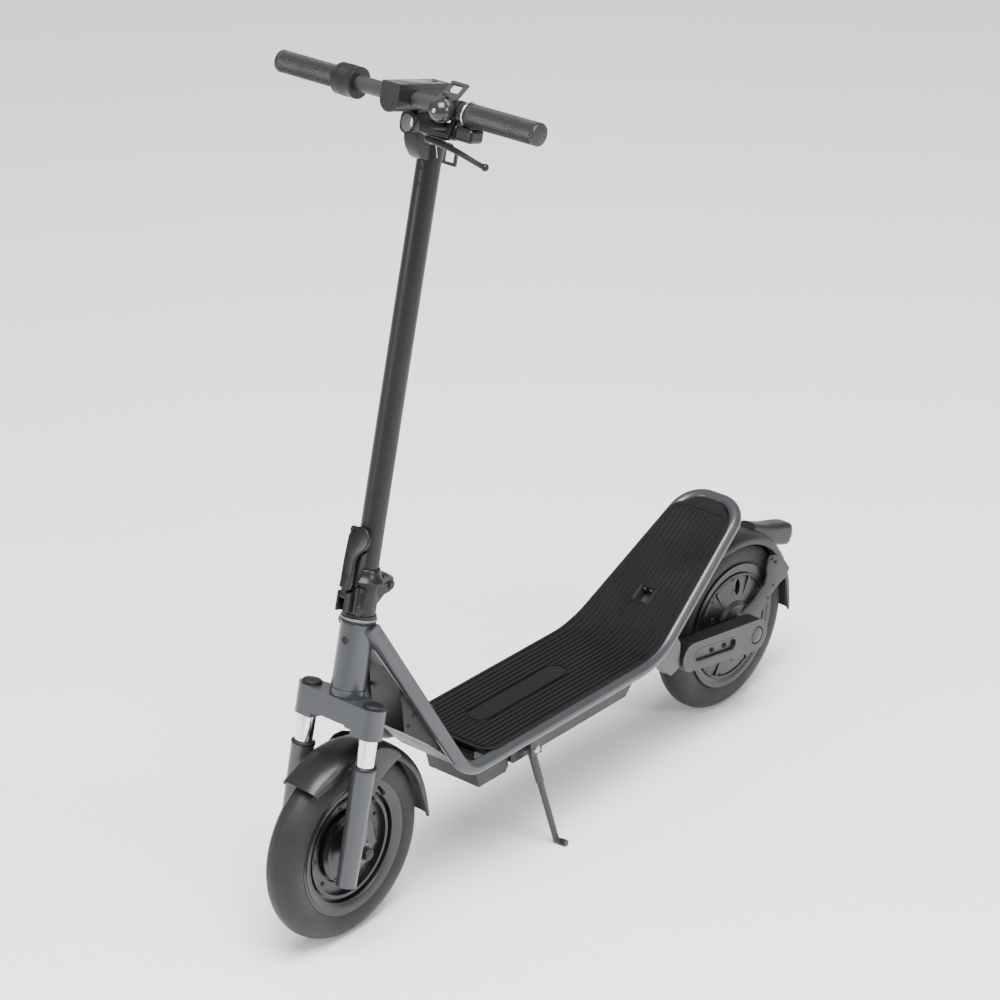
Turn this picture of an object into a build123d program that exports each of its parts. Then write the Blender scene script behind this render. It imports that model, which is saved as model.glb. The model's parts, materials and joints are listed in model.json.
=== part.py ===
from build123d import *
import os
from math import cos, hypot, radians, sin, tan

# Electric kick scooter with a folding stem, a sprung fork and a tubular loop frame.
#
# +X points forward, +Y to the rider's left and +Z up.  The origin lies on the ground under the
# middle of the scooter's outer box.  All sizes are in millimetres.

# ---------------------------------------------------------------- driving dimensions
TYRE_RADIUS = 145.0          # 11 inch class tyre
TYRE_HALF_WIDTH = 26.0
TYRE_HALF_HEIGHT = 28.0
TYRE_WALL = 4.5
WHEELBASE = 890.0
REAR_X = -429.0              # rear axle, placed so that the outer box is centred on the origin
FRONT_X = REAR_X + WHEELBASE
RIM_RADIUS = 103.8
AXLE_RADIUS = 5.0
MOTOR_AXLE_RADIUS = 6.0

HEAD_LEAN = 14.24            # steering axis, degrees back from vertical
HEAD_X = REAR_X + 967.1      # where the steering axis meets the ground
HEAD_BOTTOM = 403.0          # heights below are measured along the steering axis
HEAD_TOP = 500.0
HEAD_RADIUS = 24.7
HEAD_BORE = 20.0
STEERER_RADIUS = 15.0
LEG_FORWARD = 8.9            # fork legs stand this far in front of the steering axis
LEG_SIDE = 58.7
STANCHION_RADIUS = 13.5
LEG_TOP = 301.7
LEG_BOTTOM = 123.7
CROWN_BOTTOM = 346.6
CROWN_TOP = 391.0

STEM_RADIUS = 17.3
STEM_WALL = 2.4
STEM_TOP = 1176.0
FOLD_SPLIT = 556.0           # plane between the two halves of the folding joint
FOLD_PIVOT = (-42.0, 552.0)  # forward and height of the folding pin, in the head frame
BAR_FORWARD = 65.8
BAR_HEIGHT = 1248.5
BAR_RADIUS = 11.1
BAR_HALF = 229.0
GRIP_RADIUS = 16.0

RAIL_RADIUS = 10.5           # deck loop tube
RAIL_WALL = 2.2
NECK_RADIUS = 14.0           # the same tube where it meets the head tube
RAIL_SIDE = 83.0
RAIL_Z = 211.0
BEND_X = REAR_X + 711.0      # front bend of the loop
SLOPE = 31.5                 # rise of the tail, degrees
SLOPE_X = REAR_X + 266.3     # where the tail starts to rise
TAIL_X = REAR_X + 13.0       # rear end of the loop
TAIL_SIDE = 51.3
MAT_TOP = 13.5               # mat surface above the tube's centre plane
SHROUD_WALL = 2.5
MAT_FRONT = REAR_X + 664
MAT_REAR = REAR_X + 42
RIB_COUNT = 17
POCKET_X = REAR_X + 188      # latch pocket in the tail
STAND_PIVOT = (REAR_X + 549, 66.8, 178)
STAND_FOOT = (REAR_X + 508.2, 84.1, 5)
STAND_PIN = 4.0

LEVER_PIN = (39.0, 543.0)    # folding lever's pin, forward and height in the head frame
LEVER_PIN_RADIUS = 2.5
LATCH = (-13.5, 11.0)        # catch on the lever's round head, sideways and up from its middle
POD_OFF = (-3.0, 103.0)      # display pod, rear and front
POD_LOW = 1229.0
POD_HIGH = 1269.0
COVER = 2.2                  # thickness of the pod's glossy panel
BUTTON = (14.0, 0.0, POD_HIGH)
BRAKE_PIVOT = (76.0, 62.0, 1204.0)
BRAKE_PIN = 3.0
BELL_SIDE = 80.0
BELL_FOOT = 6.0
THROTTLE_SIDE = (-120.5, -86.0)
CLEAR = 0.3                  # gap between pieces that move past each other
RUNNING = 0.05               # radial gap of a shaft in its bearing

# ---------------------------------------------------------------- frames and small helpers
LEAN = radians(HEAD_LEAN)
RISE = radians(SLOPE)
TAIL_Z = RAIL_Z + (SLOPE_X - TAIL_X) * tan(RISE)
AXLE_FORWARD = (FRONT_X - HEAD_X) * cos(LEAN) + TYRE_RADIUS * sin(LEAN)
AXLE_HEIGHT = -(FRONT_X - HEAD_X) * sin(LEAN) + TYRE_RADIUS * cos(LEAN)
HEAD = Plane(origin=(HEAD_X, 0, 0), x_dir=(cos(LEAN), 0, sin(LEAN)), z_dir=(-sin(LEAN), 0, cos(LEAN)))
LOW = (Align.CENTER, Align.CENTER, Align.MIN)
PARTS = {}


def head_point(forward, side, height):
    """A point of the head frame, in the scooter's own axes."""
    return (HEAD_X + forward * cos(LEAN) - height * sin(LEAN), side, forward * sin(LEAN) + height * cos(LEAN))


def add(name, shape):
    """Keep a finished piece under its node name."""
    PARTS[name] = shape


def on_head(shape):
    """Move a shape drawn in the head frame to its place."""
    return HEAD.location * shape


def rod(start, end, radius, end_radius=None):
    """A round bar or cone between two points."""
    a, b = Vector(*start), Vector(*end)
    place = Plane(origin=a, z_dir=b - a).location
    length = (b - a).length
    if end_radius is None:
        return place * Cylinder(radius, length, align=LOW)
    return place * Cone(radius, end_radius, length, align=LOW)


def tube(start, end, outer, inner):
    """A round pipe between two points."""
    return rod(start, end, outer) - rod(start, end, inner)


def block(x, y, z, radius=0.0):
    """A box from its low and high limits, its long corners rounded."""
    size = (x[1] - x[0], y[1] - y[0], z[1] - z[0])
    middle = ((x[0] + x[1]) / 2, (y[0] + y[1]) / 2, (z[0] + z[1]) / 2)
    body = Pos(*middle) * Box(*size)
    return fillet(body.edges(), radius) if radius else body


def side_plate(points, y_low, y_high):
    """A flat plate from an outline in the X-Z plane, between two side positions."""
    face = make_face(Polyline([(x, 0, z) for x, z in points], close=True))
    plate = extrude(face, amount=y_high - y_low, dir=(0, 1, 0))
    return Pos(0, y_low, 0) * plate


def front_plate(points, x_low, x_high):
    """A flat plate from an outline in the Y-Z plane, between two forward positions."""
    face = make_face(Polyline([(x_low, y, z) for y, z in points], close=True))
    return extrude(face, amount=x_high - x_low, dir=(1, 0, 0))


def inset(points, distance):
    """Move every side of a closed outline inwards by a distance."""
    count = len(points)
    area = sum(points[i - 1][0] * points[i][1] - points[i][0] * points[i - 1][1] for i in range(count))
    turn = 1 if area > 0 else -1
    result = []
    for i in range(count):
        (ax, ay), (bx, by), (cx, cy) = points[i - 1], points[i], points[(i + 1) % count]
        first, second = hypot(bx - ax, by - ay), hypot(cx - bx, cy - by)
        n1 = (-turn * (by - ay) / first, turn * (bx - ax) / first)
        n2 = (-turn * (cy - by) / second, turn * (cx - bx) / second)
        scale = distance / (1 + n1[0] * n2[0] + n1[1] * n2[1])
        result.append((bx + (n1[0] + n2[0]) * scale, by + (n1[1] + n2[1]) * scale))
    return result


def arm_plate(start, end, start_radius, end_radius, y_low, y_high):
    """A flat link with round ends, upright in the X-Z plane."""
    hull = make_hull([Pos(start[0], start[1]) * Circle(start_radius).edge(),
                      Pos(end[0], end[1]) * Circle(end_radius).edge()])
    plate = extrude(hull, amount=y_high - y_low)
    return Pos(0, y_high, 0) * (Rot(90, 0, 0) * plate)


def both(shape):
    """The shape and its mirror image across the scooter's middle."""
    return [shape, mirror(shape, about=Plane.XZ)]


def group(shapes):
    """Several separate solids as one node."""
    return Compound(children=[solid for shape in shapes for solid in shape.solids()])


def ring(points, x, z=TYRE_RADIUS):
    """Revolve an outline of (radius, side) points about a wheel axis."""
    face = make_face(Polyline(points, close=True))
    return Pos(x, 0, z) * revolve(face, Axis.Y)


def bar_collar(y_low, y_high, outer, inner):
    """A ring around the handlebar, in the head frame."""
    return tube((BAR_FORWARD, y_low, BAR_HEIGHT), (BAR_FORWARD, y_high, BAR_HEIGHT), outer, inner)


# ---------------------------------------------------------------- wheels
def tyre(x):
    """Pneumatic tyre: an oval section, open towards the rim."""
    middle = TYRE_RADIUS - TYRE_HALF_HEIGHT
    outer = Pos(middle, 0) * Ellipse(TYRE_HALF_HEIGHT, TYRE_HALF_WIDTH)
    inner = Pos(middle, 0) * Ellipse(TYRE_HALF_HEIGHT - TYRE_WALL, TYRE_HALF_WIDTH - TYRE_WALL)
    bead = Pos(middle / 2 - 4, 0) * Rectangle(RIM_RADIUS * 2 - middle + 8.4, 90)
    return Pos(x, 0, TYRE_RADIUS) * revolve(outer - inner - bead, Axis.Y)


def front_rim():
    """Cast rim with a stepped web; its left side is open for the drum brake."""
    right = [(13, -15), (20, -15), (22, -4), (54, -4), (58, -9), (74, -9), (75, -17), (80, -17), (80, -11), (85, -11),
             (86, -19.5), (98, -23.6), (RIM_RADIUS, -24)]
    bed = [(RIM_RADIUS, -19), (97, -14), (97, 14), (RIM_RADIUS, 19), (RIM_RADIUS, 24)]
    left = [(98, 23.6), (86, 19.5), (85, 11), (80, 11), (80, 17), (75, 17), (74, 9), (58, 9), (57, 3), (13, 3)]
    return ring(right + bed + left, FRONT_X)


def wheel_bearings(x, bore, outer, places, width=8):
    """A pair of bearings on a wheel axle."""
    pair = []
    for y in places:
        pair.append(tube((x, y - width / 2, TYRE_RADIUS), (x, y + width / 2, TYRE_RADIUS), outer, bore))
    return group(pair)


def brake_plate():
    """Fixed backing plate of the front drum brake, with its shoe ring and cable arm."""
    plate = ring([(AXLE_RADIUS + RUNNING, 12), (55, 12), (55, 16), (48, 19), (22, 19), (20, 30),
                  (AXLE_RADIUS + RUNNING, 30)], FRONT_X)
    shoes = ring([(40, 5), (52, 5), (52, 12), (40, 12)], FRONT_X)
    lever = arm_plate((FRONT_X - 38, TYRE_RADIUS - 8), (FRONT_X - 30, TYRE_RADIUS + 22), 8, 6, 19, 24)
    return plate + shoes + lever


def motor_shell():
    """Hub motor drum with the tyre's rim cast on it."""
    drum = [(88, -24), (96, -27), (RIM_RADIUS, -27), (RIM_RADIUS, -19), (99, -14), (99, 14),
            (RIM_RADIUS, 19), (RIM_RADIUS, 27), (96, 27), (88, 24)]
    return ring(drum, REAR_X)


def motor_cover():
    """Left side cover of the motor, with raised ribs and three lightening windows."""
    disc = ring([(13, 18), (87.7, 18), (87.7, 24), (80, 26), (44, 29), (36, 33), (13, 33)], REAR_X)
    for turn in (20, 140, 260):
        window = Pos(66, 0) * Ellipse(13, 6)
        cut = extrude(window, amount=60)
        disc -= Pos(REAR_X, 60, TYRE_RADIUS) * (Rot(0, turn, 0) * (Rot(90, 0, 0) * cut))
    for turn in range(0, 360, 60):
        rib = block((40, 84), (25.4, 28.6), (-2.2, 2.2))
        disc += Pos(REAR_X, 0, TYRE_RADIUS) * (Rot(0, turn, 0) * rib)
    return disc


def build_wheels():
    """Both wheels with their axles."""
    add("front_tyre", tyre(FRONT_X))
    add("front_rim", front_rim())
    add("front_bearings", wheel_bearings(FRONT_X, AXLE_RADIUS + RUNNING, 13, (-10, -2)))
    add("front_axle", rod((FRONT_X, -45.5, TYRE_RADIUS), (FRONT_X, 45.5, TYRE_RADIUS), AXLE_RADIUS))
    add("brake_plate", brake_plate())
    add("rear_tyre", tyre(REAR_X))
    add("motor_shell", motor_shell())
    cover = motor_cover()
    add("motor_covers", group(both(cover)))
    add("rear_bearings", wheel_bearings(REAR_X, MOTOR_AXLE_RADIUS + RUNNING, 13, (-25, 25)))
    stator = ring([(MOTOR_AXLE_RADIUS, -13), (20, -13), (20, -11), (84, -11), (84, 11), (20, 11), (20, 13),
                   (MOTOR_AXLE_RADIUS, 13)], REAR_X)
    add("motor_stator", stator)
    axle = rod((REAR_X, -76, TYRE_RADIUS), (REAR_X, 76, TYRE_RADIUS), MOTOR_AXLE_RADIUS)
    for y in (-75, 68):
        nut = extrude(RegularPolygon(11, 6), amount=7)
        axle += Pos(REAR_X, y + 7, TYRE_RADIUS) * (Rot(90, 0, 0) * nut)
    add("rear_axle", axle)


# ---------------------------------------------------------------- frame and deck
def rail_path():
    """Centre line of the loop tube: down the left side, round the tail and back."""
    def corners(side):
        return [(BEND_X, side * RAIL_SIDE, RAIL_Z), (SLOPE_X, side * RAIL_SIDE, RAIL_Z),
                (TAIL_X, side * TAIL_SIDE, TAIL_Z)]
    neck = head_point(-1, 20, 483 / cos(LEAN) - 0.25)
    left_start = Vector(*neck)
    right_start = Vector(neck[0], -neck[1], neck[2])
    points = [left_start] + [Vector(*p) for p in corners(1)]
    points += [Vector(*p) for p in reversed(corners(-1))] + [right_start]
    return FilletPolyline(*points, radius=[46, 160, 43, 43, 160, 46])


def main_frame():
    """Head tube, the one-piece loop tube, cross members and the rear brackets, welded together."""
    path = rail_path()
    section = Plane(origin=path @ 0, z_dir=path % 0) * Circle(RAIL_RADIUS)
    loop = sweep(section, path=path)
    bend = Vector(BEND_X, RAIL_SIDE, RAIL_Z)
    top = Vector(*head_point(-1, 20, 483 / cos(LEAN) - 0.25))
    lower = bend + (top - bend).normalized() * 48
    frame = loop
    for taper in both(rod(tuple(lower), tuple(top), RAIL_RADIUS, NECK_RADIUS)):
        frame += taper
    head_space = on_head(Pos(0, 0, HEAD_TOP) * Cylinder(90, 80, align=LOW))
    frame = frame - head_space
    outer = on_head(rod((0, 0, HEAD_BOTTOM), (0, 0, HEAD_TOP), HEAD_RADIUS))
    frame = frame + outer
    bore = on_head(rod((0, 0, HEAD_BOTTOM - 1), (0, 0, HEAD_TOP + 1), HEAD_BORE))
    seat_low = on_head(rod((0, 0, HEAD_BOTTOM - 1), (0, 0, HEAD_BOTTOM + 10), HEAD_BORE + 1.5))
    seat_high = on_head(rod((0, 0, HEAD_TOP - 10), (0, 0, HEAD_TOP + 1), HEAD_BORE + 1.5))
    frame = frame - bore - seat_low - seat_high
    hollow = sweep(Plane(origin=path @ 0, z_dir=path % 0) * Circle(RAIL_RADIUS - RAIL_WALL), path=path)
    frame = frame - (hollow - outer)
    for x in (BEND_X - 70, BEND_X - 250, SLOPE_X + 30):
        frame += block((x - 12, x + 12), (-RAIL_SIDE + 6, RAIL_SIDE - 6), (RAIL_Z - 2.5, RAIL_Z + 5.5))
    bracket = side_plate([(REAR_X + 252, 196), (REAR_X + 262, 210), (REAR_X + 212, 238), (REAR_X + 193.5, 208),
                          (REAR_X + 193.5, 166), (REAR_X + 216, 160)], 50, 72)
    for piece in both(bracket):
        frame += piece
    hanger = side_plate([(TAIL_X - 4, TAIL_Z - 6), (TAIL_X + 30, TAIL_Z - 18), (REAR_X + 46, 314),
                         (REAR_X - 2, 314)], -14, 14)
    return frame + hanger


def deck_outline(side_gap, front, rear, front_radius, rear_radius):
    """Plan view of the deck, a given distance inside the tube's centre line."""
    wide = RAIL_SIDE - side_gap
    taper = (RAIL_SIDE - TAIL_SIDE) / (SLOPE_X - TAIL_X)
    narrow = wide - taper * (SLOPE_X - rear)
    points = [(front, -wide), (front, wide), (SLOPE_X, wide), (rear, narrow), (rear, -narrow), (SLOPE_X, -wide)]
    face = make_face(Polyline(points, close=True))
    front_corners = [v for v in face.vertices() if abs(v.X - front) < 0.1]
    face = fillet(front_corners, front_radius)
    rear_corners = [v for v in face.vertices() if abs(v.X - rear) < 0.1]
    return fillet(rear_corners, rear_radius)


def deck_profile(low, high, y_low, y_high, front=BEND_X + 60, rear=TAIL_X - 60):
    """A bent sheet that follows the deck, between two offsets above the tube's plane."""
    def line(offset):
        shift = offset * tan(RISE / 2)
        corner = (SLOPE_X + shift, RAIL_Z + offset)
        far = (rear, corner[1] + (corner[0] - rear) * tan(RISE))
        return corner, far
    (low_corner, low_far), (high_corner, high_far) = line(low), line(high)
    points = [(front, RAIL_Z + low), low_corner, low_far, high_far, high_corner, (front, RAIL_Z + high)]
    face = make_face(Polyline([(x, 0, z) for x, z in points], close=True))
    for corner, radius in ((low_corner, 160 - low), (high_corner, 160 - high)):
        near = [v for v in face.vertices() if hypot(v.X - corner[0], v.Z - corner[1]) < 0.01]
        face = fillet(near, radius)
    sheet = extrude(face, amount=y_high - y_low, dir=(0, 1, 0))
    return Pos(0, y_low, 0) * sheet


def deck_sheet(low, high, side_gap, front, rear, front_radius, rear_radius):
    """A bent sheet trimmed to the deck's outline."""
    outline = extrude(deck_outline(side_gap, front, rear, front_radius, rear_radius), amount=600)
    return deck_profile(low, high, -100, 100) & outline


def pocket_space(size, depth_low, depth_high):
    """An upright space on the tail for the latch pocket."""
    along = (SLOPE_X - POCKET_X) / cos(RISE)
    place = Plane(origin=(SLOPE_X, 0, RAIL_Z), x_dir=(-cos(RISE), 0, sin(RISE)), z_dir=(sin(RISE), 0, cos(RISE)))
    shape = Pos(along, 0, (depth_low + depth_high) / 2) * Box(size[0], size[1], depth_high - depth_low)
    return place.location * shape


def deck_mat():
    """Rubber mat: a thin sheet with a raised border, long ribs and a smooth island."""
    base = deck_sheet(10.8, 12.0, -1.0, MAT_FRONT, MAT_REAR, 26, 28)
    rim = deck_sheet(12.0, 13.1, -1.0, MAT_FRONT, MAT_REAR, 26, 28)
    rim -= extrude(deck_outline(4.5, MAT_FRONT - 5.5, MAT_REAR + 5.5, 21, 23), amount=600)
    field = extrude(deck_outline(8.0, MAT_FRONT - 9, MAT_REAR + 9, 18, 20), amount=600)
    island_x = (REAR_X + 395, REAR_X + 602)
    island = Pos((island_x[0] + island_x[1]) / 2, 0) * SlotOverall(island_x[1] - island_x[0], 34)
    moat = Pos((island_x[0] + island_x[1]) / 2, 0) * SlotOverall(island_x[1] - island_x[0] + 7, 41)
    ribs = []
    pitch = 2 * (RAIL_SIDE - 8) / RIB_COUNT
    for index in range(RIB_COUNT):
        middle = (index - (RIB_COUNT - 1) / 2) * pitch
        rib = deck_profile(12.0, MAT_TOP, middle - pitch * 0.34, middle + pitch * 0.34)
        ribs.append(rib)
    raised = ribs[0]
    for rib in ribs[1:]:
        raised += rib
    raised = (raised & field) - extrude(moat, amount=600)
    smooth = deck_profile(12.0, MAT_TOP, -30, 30) & extrude(island, amount=600)
    mat = base + rim + raised + smooth
    return mat - pocket_space((30.6, 28.6), 0, 40)


def catch_pocket():
    """Open cup in the tail, with two small lips, that takes the stem's hook."""
    outer = pocket_space((30, 28), -8, 12)
    inner = pocket_space((25, 23), -5.5, 20)
    return outer - inner


def battery_box():
    """Open-topped tray under the deck that holds the battery."""
    points = [(REAR_X + 578, 155), (REAR_X + 578, 208.3), (REAR_X + 282, 208.3), (REAR_X + 286, 176),
              (REAR_X + 306, 155)]
    shell = side_plate(points, -54, 54)
    shell = fillet(shell.edges().filter_by(Axis.Y).group_by(Axis.Z)[0], 7)
    inner = block((REAR_X + 311, REAR_X + 575), (-51, 51), (158, 220))
    return shell - inner


def controller_box():
    """Deeper housing ahead of the battery for the controller."""
    points = [(REAR_X + 584, 144), (REAR_X + 578.3, 152), (REAR_X + 578.3, 208.3), (REAR_X + 655, 208.3),
              (REAR_X + 657, 190), (REAR_X + 645, 144)]
    shell = side_plate(points, -49, 49)
    inner = block((REAR_X + 584, REAR_X + 642), (-45, 45), (147.5, 220))
    return shell - inner


def neck_shroud():
    """Hollow black shroud between the down tubes; the wiring runs through it to the deck."""
    side_view = [(818, 432), (795, 392), (788, 330), (786, 290), (752, 262), (706, 216), (690, 199),
                 (664, 193), (664, 205), (690, 210), (712, 228), (760, 326), (800, 412)]
    top_view = [(838, -9), (838, 9), (711, 62), (650, 62), (650, -62), (711, -62)]

    def body(wall):
        """The shroud's form, a given distance inside its surface."""
        side = [(REAR_X + x, z) for x, z in inset(side_view, wall)]
        top = make_face(Polyline([(REAR_X + x, y) for x, y in inset(top_view, wall)], close=True))
        return side_plate(side, -90, 90) & extrude(top, amount=600)

    wire_exit = block((REAR_X + 660, REAR_X + 670), (-30, 30), (196.5, 202.5))
    return body(0) - body(SHROUD_WALL) - wire_exit


def kick_bracket():
    """Clevis under the left rail that carries the stand."""
    x, z = STAND_PIVOT[0], STAND_PIVOT[2]
    bracket = block((x - 15, x + 15), (55, 83), (194, 200))
    for low in (54.5, 75.4):
        ear = side_plate([(x - 14, 194), (x + 14, 194), (x + 11, z - 9), (x - 11, z - 9)], low, low + 4.5)
        bracket += ear
    return bracket + rod((x, 54.5, z), (x, 79.9, z), STAND_PIN)


def kickstand():
    """Stand leg: a thick upper sleeve, a thin leg and a short turned-out foot."""
    pivot = Vector(*STAND_PIVOT)
    foot = Vector(*STAND_FOOT)
    way = (foot - pivot).normalized()
    sleeve_end = pivot + way * 66
    hub = rod((pivot.X, 59.4, pivot.Z), (pivot.X, 75, pivot.Z), 8.6)
    sleeve = rod(tuple(pivot + way * 4), tuple(sleeve_end), 6.5)
    leg = rod(tuple(sleeve_end - way * 2), tuple(foot), 5)
    toe = rod(tuple(foot), (foot.X - 1.5, foot.Y + 19, 5), 5)
    stand = hub + sleeve + leg + Pos(*foot) * Sphere(5) + toe
    return stand - rod((pivot.X, 50, pivot.Z), (pivot.X, 82, pivot.Z), STAND_PIN + RUNNING)


def build_deck():
    """Frame, deck sheets, boxes under the deck and the stand."""
    pocket_hole = pocket_space((30.2, 28.2), -30, 40)
    add("main_frame", main_frame())
    plate = deck_sheet(6.8, 10.7, 9.4, MAT_FRONT - 6, REAR_X + 27, 20, 38)
    add("deck_plate", plate - pocket_hole)
    add("deck_mat", deck_mat())
    add("catch_pocket", catch_pocket())
    add("battery_box", battery_box())
    add("battery_pack", block((REAR_X + 315, REAR_X + 571), (-48, 48), (158.2, 205), 4))
    add("controller_box", controller_box())
    add("controller", block((REAR_X + 588, REAR_X + 638), (-41, 41), (147.7, 190), 3))
    add("neck_shroud", neck_shroud())
    add("stand_bracket", kick_bracket())
    add("kickstand", kickstand())


# ---------------------------------------------------------------- rear end
def arm_cover():
    """Moulded cover over the left rear arm, with a long recess."""
    axle, front = (REAR_X, TYRE_RADIUS), (REAR_X + 168, 174)
    cover = arm_plate(axle, front, 27, 24, 50.4, 77)
    slot = arm_plate((REAR_X + 66, 155.5), (REAR_X + 152, 170.5), 9, 9, 72, 80)
    well = rod((REAR_X, 49, TYRE_RADIUS), (REAR_X, 80, TYRE_RADIUS), 15)
    return cover - slot - well


def fender(x, radius, half_width, start, sweep_angle):
    """Curved mudguard of U section around a wheel."""
    wall = 2.6
    outline = [(radius - 16, half_width - wall), (radius - wall, half_width - wall), (radius - wall, -half_width + wall),
               (radius - 16, -half_width + wall), (radius - 16, -half_width), (radius, -half_width),
               (radius, half_width), (radius - 16, half_width)]
    face = make_face(Polyline(outline, close=True))
    arc = revolve(face, Axis.Y, revolution_arc=sweep_angle)
    return Pos(x, 0, TYRE_RADIUS) * (Rot(0, -start, 0) * arc)


def build_rear():
    """Dropouts, arm covers, rear fender, stays and tail light."""
    axle, front = (REAR_X, TYRE_RADIUS), (REAR_X + 186, 177)
    plate = arm_plate(axle, front, 22, 22, 44, 50) + side_plate(
        [(REAR_X + 170, 160), (REAR_X + 200, 160), (REAR_X + 240, 204), (REAR_X + 196, 234)], 44, 50)
    plate -= rod((REAR_X, 40, TYRE_RADIUS), (REAR_X, 56, TYRE_RADIUS), MOTOR_AXLE_RADIUS)
    add("rear_dropouts", group(both(plate)))
    add("arm_covers", group(both(arm_cover())))
    add("rear_fender", fender(REAR_X, 157, 34, 190, 118))
    stay = side_plate([(REAR_X - 112, 228), (REAR_X - 90, 243), (REAR_X - 44, 190), (REAR_X - 12, 166),
                       (REAR_X - 6, 152), (REAR_X - 34, 136), (REAR_X - 56, 139), (REAR_X - 84, 180)], 34.3, 37.3)
    stay += rod((REAR_X - 13, 37, 153), (REAR_X - 13, 44, 153), 5)
    for hole_x, hole_z in ((-78, 205), (-66, 186)):
        stay -= rod((REAR_X + hole_x, 30, hole_z), (REAR_X + hole_x, 40, hole_z), 4)
    add("fender_stays", group(both(stay)))
    tail_start, tail_end = (REAR_X - 104, 0, 262), (REAR_X - 167, 0, 240.5)
    guard = rod((REAR_X, -60, TYRE_RADIUS), (REAR_X, 60, TYRE_RADIUS), 157)
    housing = rod(tail_start, tail_end, 16.5, 20) - guard
    add("tail_light_housing", housing)
    way = (Vector(*tail_end) - Vector(*tail_start)).normalized()
    lens_end = Vector(*tail_end) + way * 5
    add("tail_light_lens", rod(tail_end, tuple(lens_end), 18.4, 16.5))


# ---------------------------------------------------------------- steering head and fork
def crown():
    """Fork crown: a flat-fronted bridge that clamps both legs and the steerer."""
    circles = [Pos(LEG_FORWARD, -LEG_SIDE) * Circle(19).edge(), Pos(LEG_FORWARD, LEG_SIDE) * Circle(19).edge(),
               Pos(2.5, 0) * Circle(25.4).edge()]
    body = extrude(make_hull(circles), amount=CROWN_TOP - CROWN_BOTTOM)
    body = Pos(0, 0, CROWN_BOTTOM) * body
    body -= block((-60, 60), (-38, 38), (CROWN_BOTTOM - 1, CROWN_BOTTOM + 8))
    body -= block((-60, 60), (-26, 26), (CROWN_BOTTOM - 1, CROWN_BOTTOM + 10.5))
    for side in (-LEG_SIDE, LEG_SIDE):
        body -= rod((LEG_FORWARD, side, CROWN_BOTTOM - 1), (LEG_FORWARD, side, CROWN_TOP + 1), STANCHION_RADIUS)
    return body - rod((0, 0, CROWN_BOTTOM), (0, 0, CROWN_TOP + 1), STEERER_RADIUS)


def stanchion(side):
    """One chromed fork tube with its top cap."""
    bottom, cap = 216.0, CROWN_TOP + 3.6
    body = rod((LEG_FORWARD, side, bottom), (LEG_FORWARD, side, cap), STANCHION_RADIUS)
    return body - rod((LEG_FORWARD, side, bottom - 1), (LEG_FORWARD, side, cap - 12), 10.5)


def fork_leg(side):
    """One lower leg: a tapered tube, open at the top for the stanchion."""
    body = rod((LEG_FORWARD, side, LEG_BOTTOM), (LEG_FORWARD, side, LEG_TOP), 15.0, 17.2)
    return body - rod((LEG_FORWARD, side, 184), (LEG_FORWARD, side, LEG_TOP + 1), STANCHION_RADIUS + 0.08)


def fork_dropout():
    """Plate behind the left leg that carries the axle."""
    outline = [(LEG_FORWARD - 6, 148), (AXLE_FORWARD, AXLE_HEIGHT - 14), (AXLE_FORWARD - 10, AXLE_HEIGHT - 10),
               (AXLE_FORWARD - 14, AXLE_HEIGHT), (AXLE_FORWARD - 10, AXLE_HEIGHT + 10),
               (AXLE_FORWARD + 4, AXLE_HEIGHT + 18), (AXLE_FORWARD + 6, AXLE_HEIGHT + 46), (LEG_FORWARD - 6, 214)]
    plate = side_plate(outline, 42, 48)
    plate -= rod((LEG_FORWARD, LEG_SIDE, 100), (LEG_FORWARD, LEG_SIDE, 320), 17.2)
    return plate - rod((AXLE_FORWARD, 30, AXLE_HEIGHT), (AXLE_FORWARD, 60, AXLE_HEIGHT), AXLE_RADIUS)


def front_fender():
    """Front mudguard with a bracket down each side to the dropouts."""
    guard = fender(FRONT_X, 158, 36, 184, 128)
    arm = side_plate([(FRONT_X - 86, 258), (FRONT_X - 30, 292), (FRONT_X - 8, 262), (FRONT_X + 2, 195),
                      (FRONT_X - 14, 190), (FRONT_X - 34, 226)], 36, 39)
    for piece in both(arm):
        guard += piece
    return guard


def build_fork():
    """Crown, stanchions, lower legs, springs and front fender."""
    add("crown", on_head(crown()))
    add("stanchions", group([on_head(stanchion(-LEG_SIDE)), on_head(stanchion(LEG_SIDE))]))
    springs = [on_head(tube((LEG_FORWARD, side, 222), (LEG_FORWARD, side, CROWN_TOP - 8.4), 9, 6.5))
               for side in (-LEG_SIDE, LEG_SIDE)]
    add("fork_springs", group(springs))
    add("fork_leg_left", on_head(fork_leg(LEG_SIDE)))
    add("fork_leg_right", on_head(fork_leg(-LEG_SIDE)))
    add("fork_dropouts", group(both(on_head(fork_dropout()))))
    add("front_fender", front_fender())
    add("steerer", on_head(tube((0, 0, CROWN_BOTTOM + 11), (0, 0, 548), STEERER_RADIUS, STEERER_RADIUS - 2.5)))
    bearings = []
    for low in (HEAD_BOTTOM + 0.5, HEAD_TOP - 9.5):
        bearings.append(on_head(tube((0, 0, low), (0, 0, low + 9), HEAD_BORE + 1.5, STEERER_RADIUS + RUNNING)))
    add("headset_bearings", group(bearings))
    low_cover = on_head(tube((0, 0, CROWN_TOP), (0, 0, HEAD_BOTTOM - CLEAR), 24.8, STEERER_RADIUS))
    top_cover = on_head(tube((0, 0, HEAD_TOP + CLEAR), (0, 0, HEAD_TOP + 7), 25, STEERER_RADIUS))
    add("headset_cups", group([low_cover, top_cover]))


# ---------------------------------------------------------------- folding joint and stem
def knuckle(y_low, y_high, radius):
    """A barrel on the folding pin."""
    forward, height = FOLD_PIVOT
    return rod((forward, y_low, height), (forward, y_high, height), radius)


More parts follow.
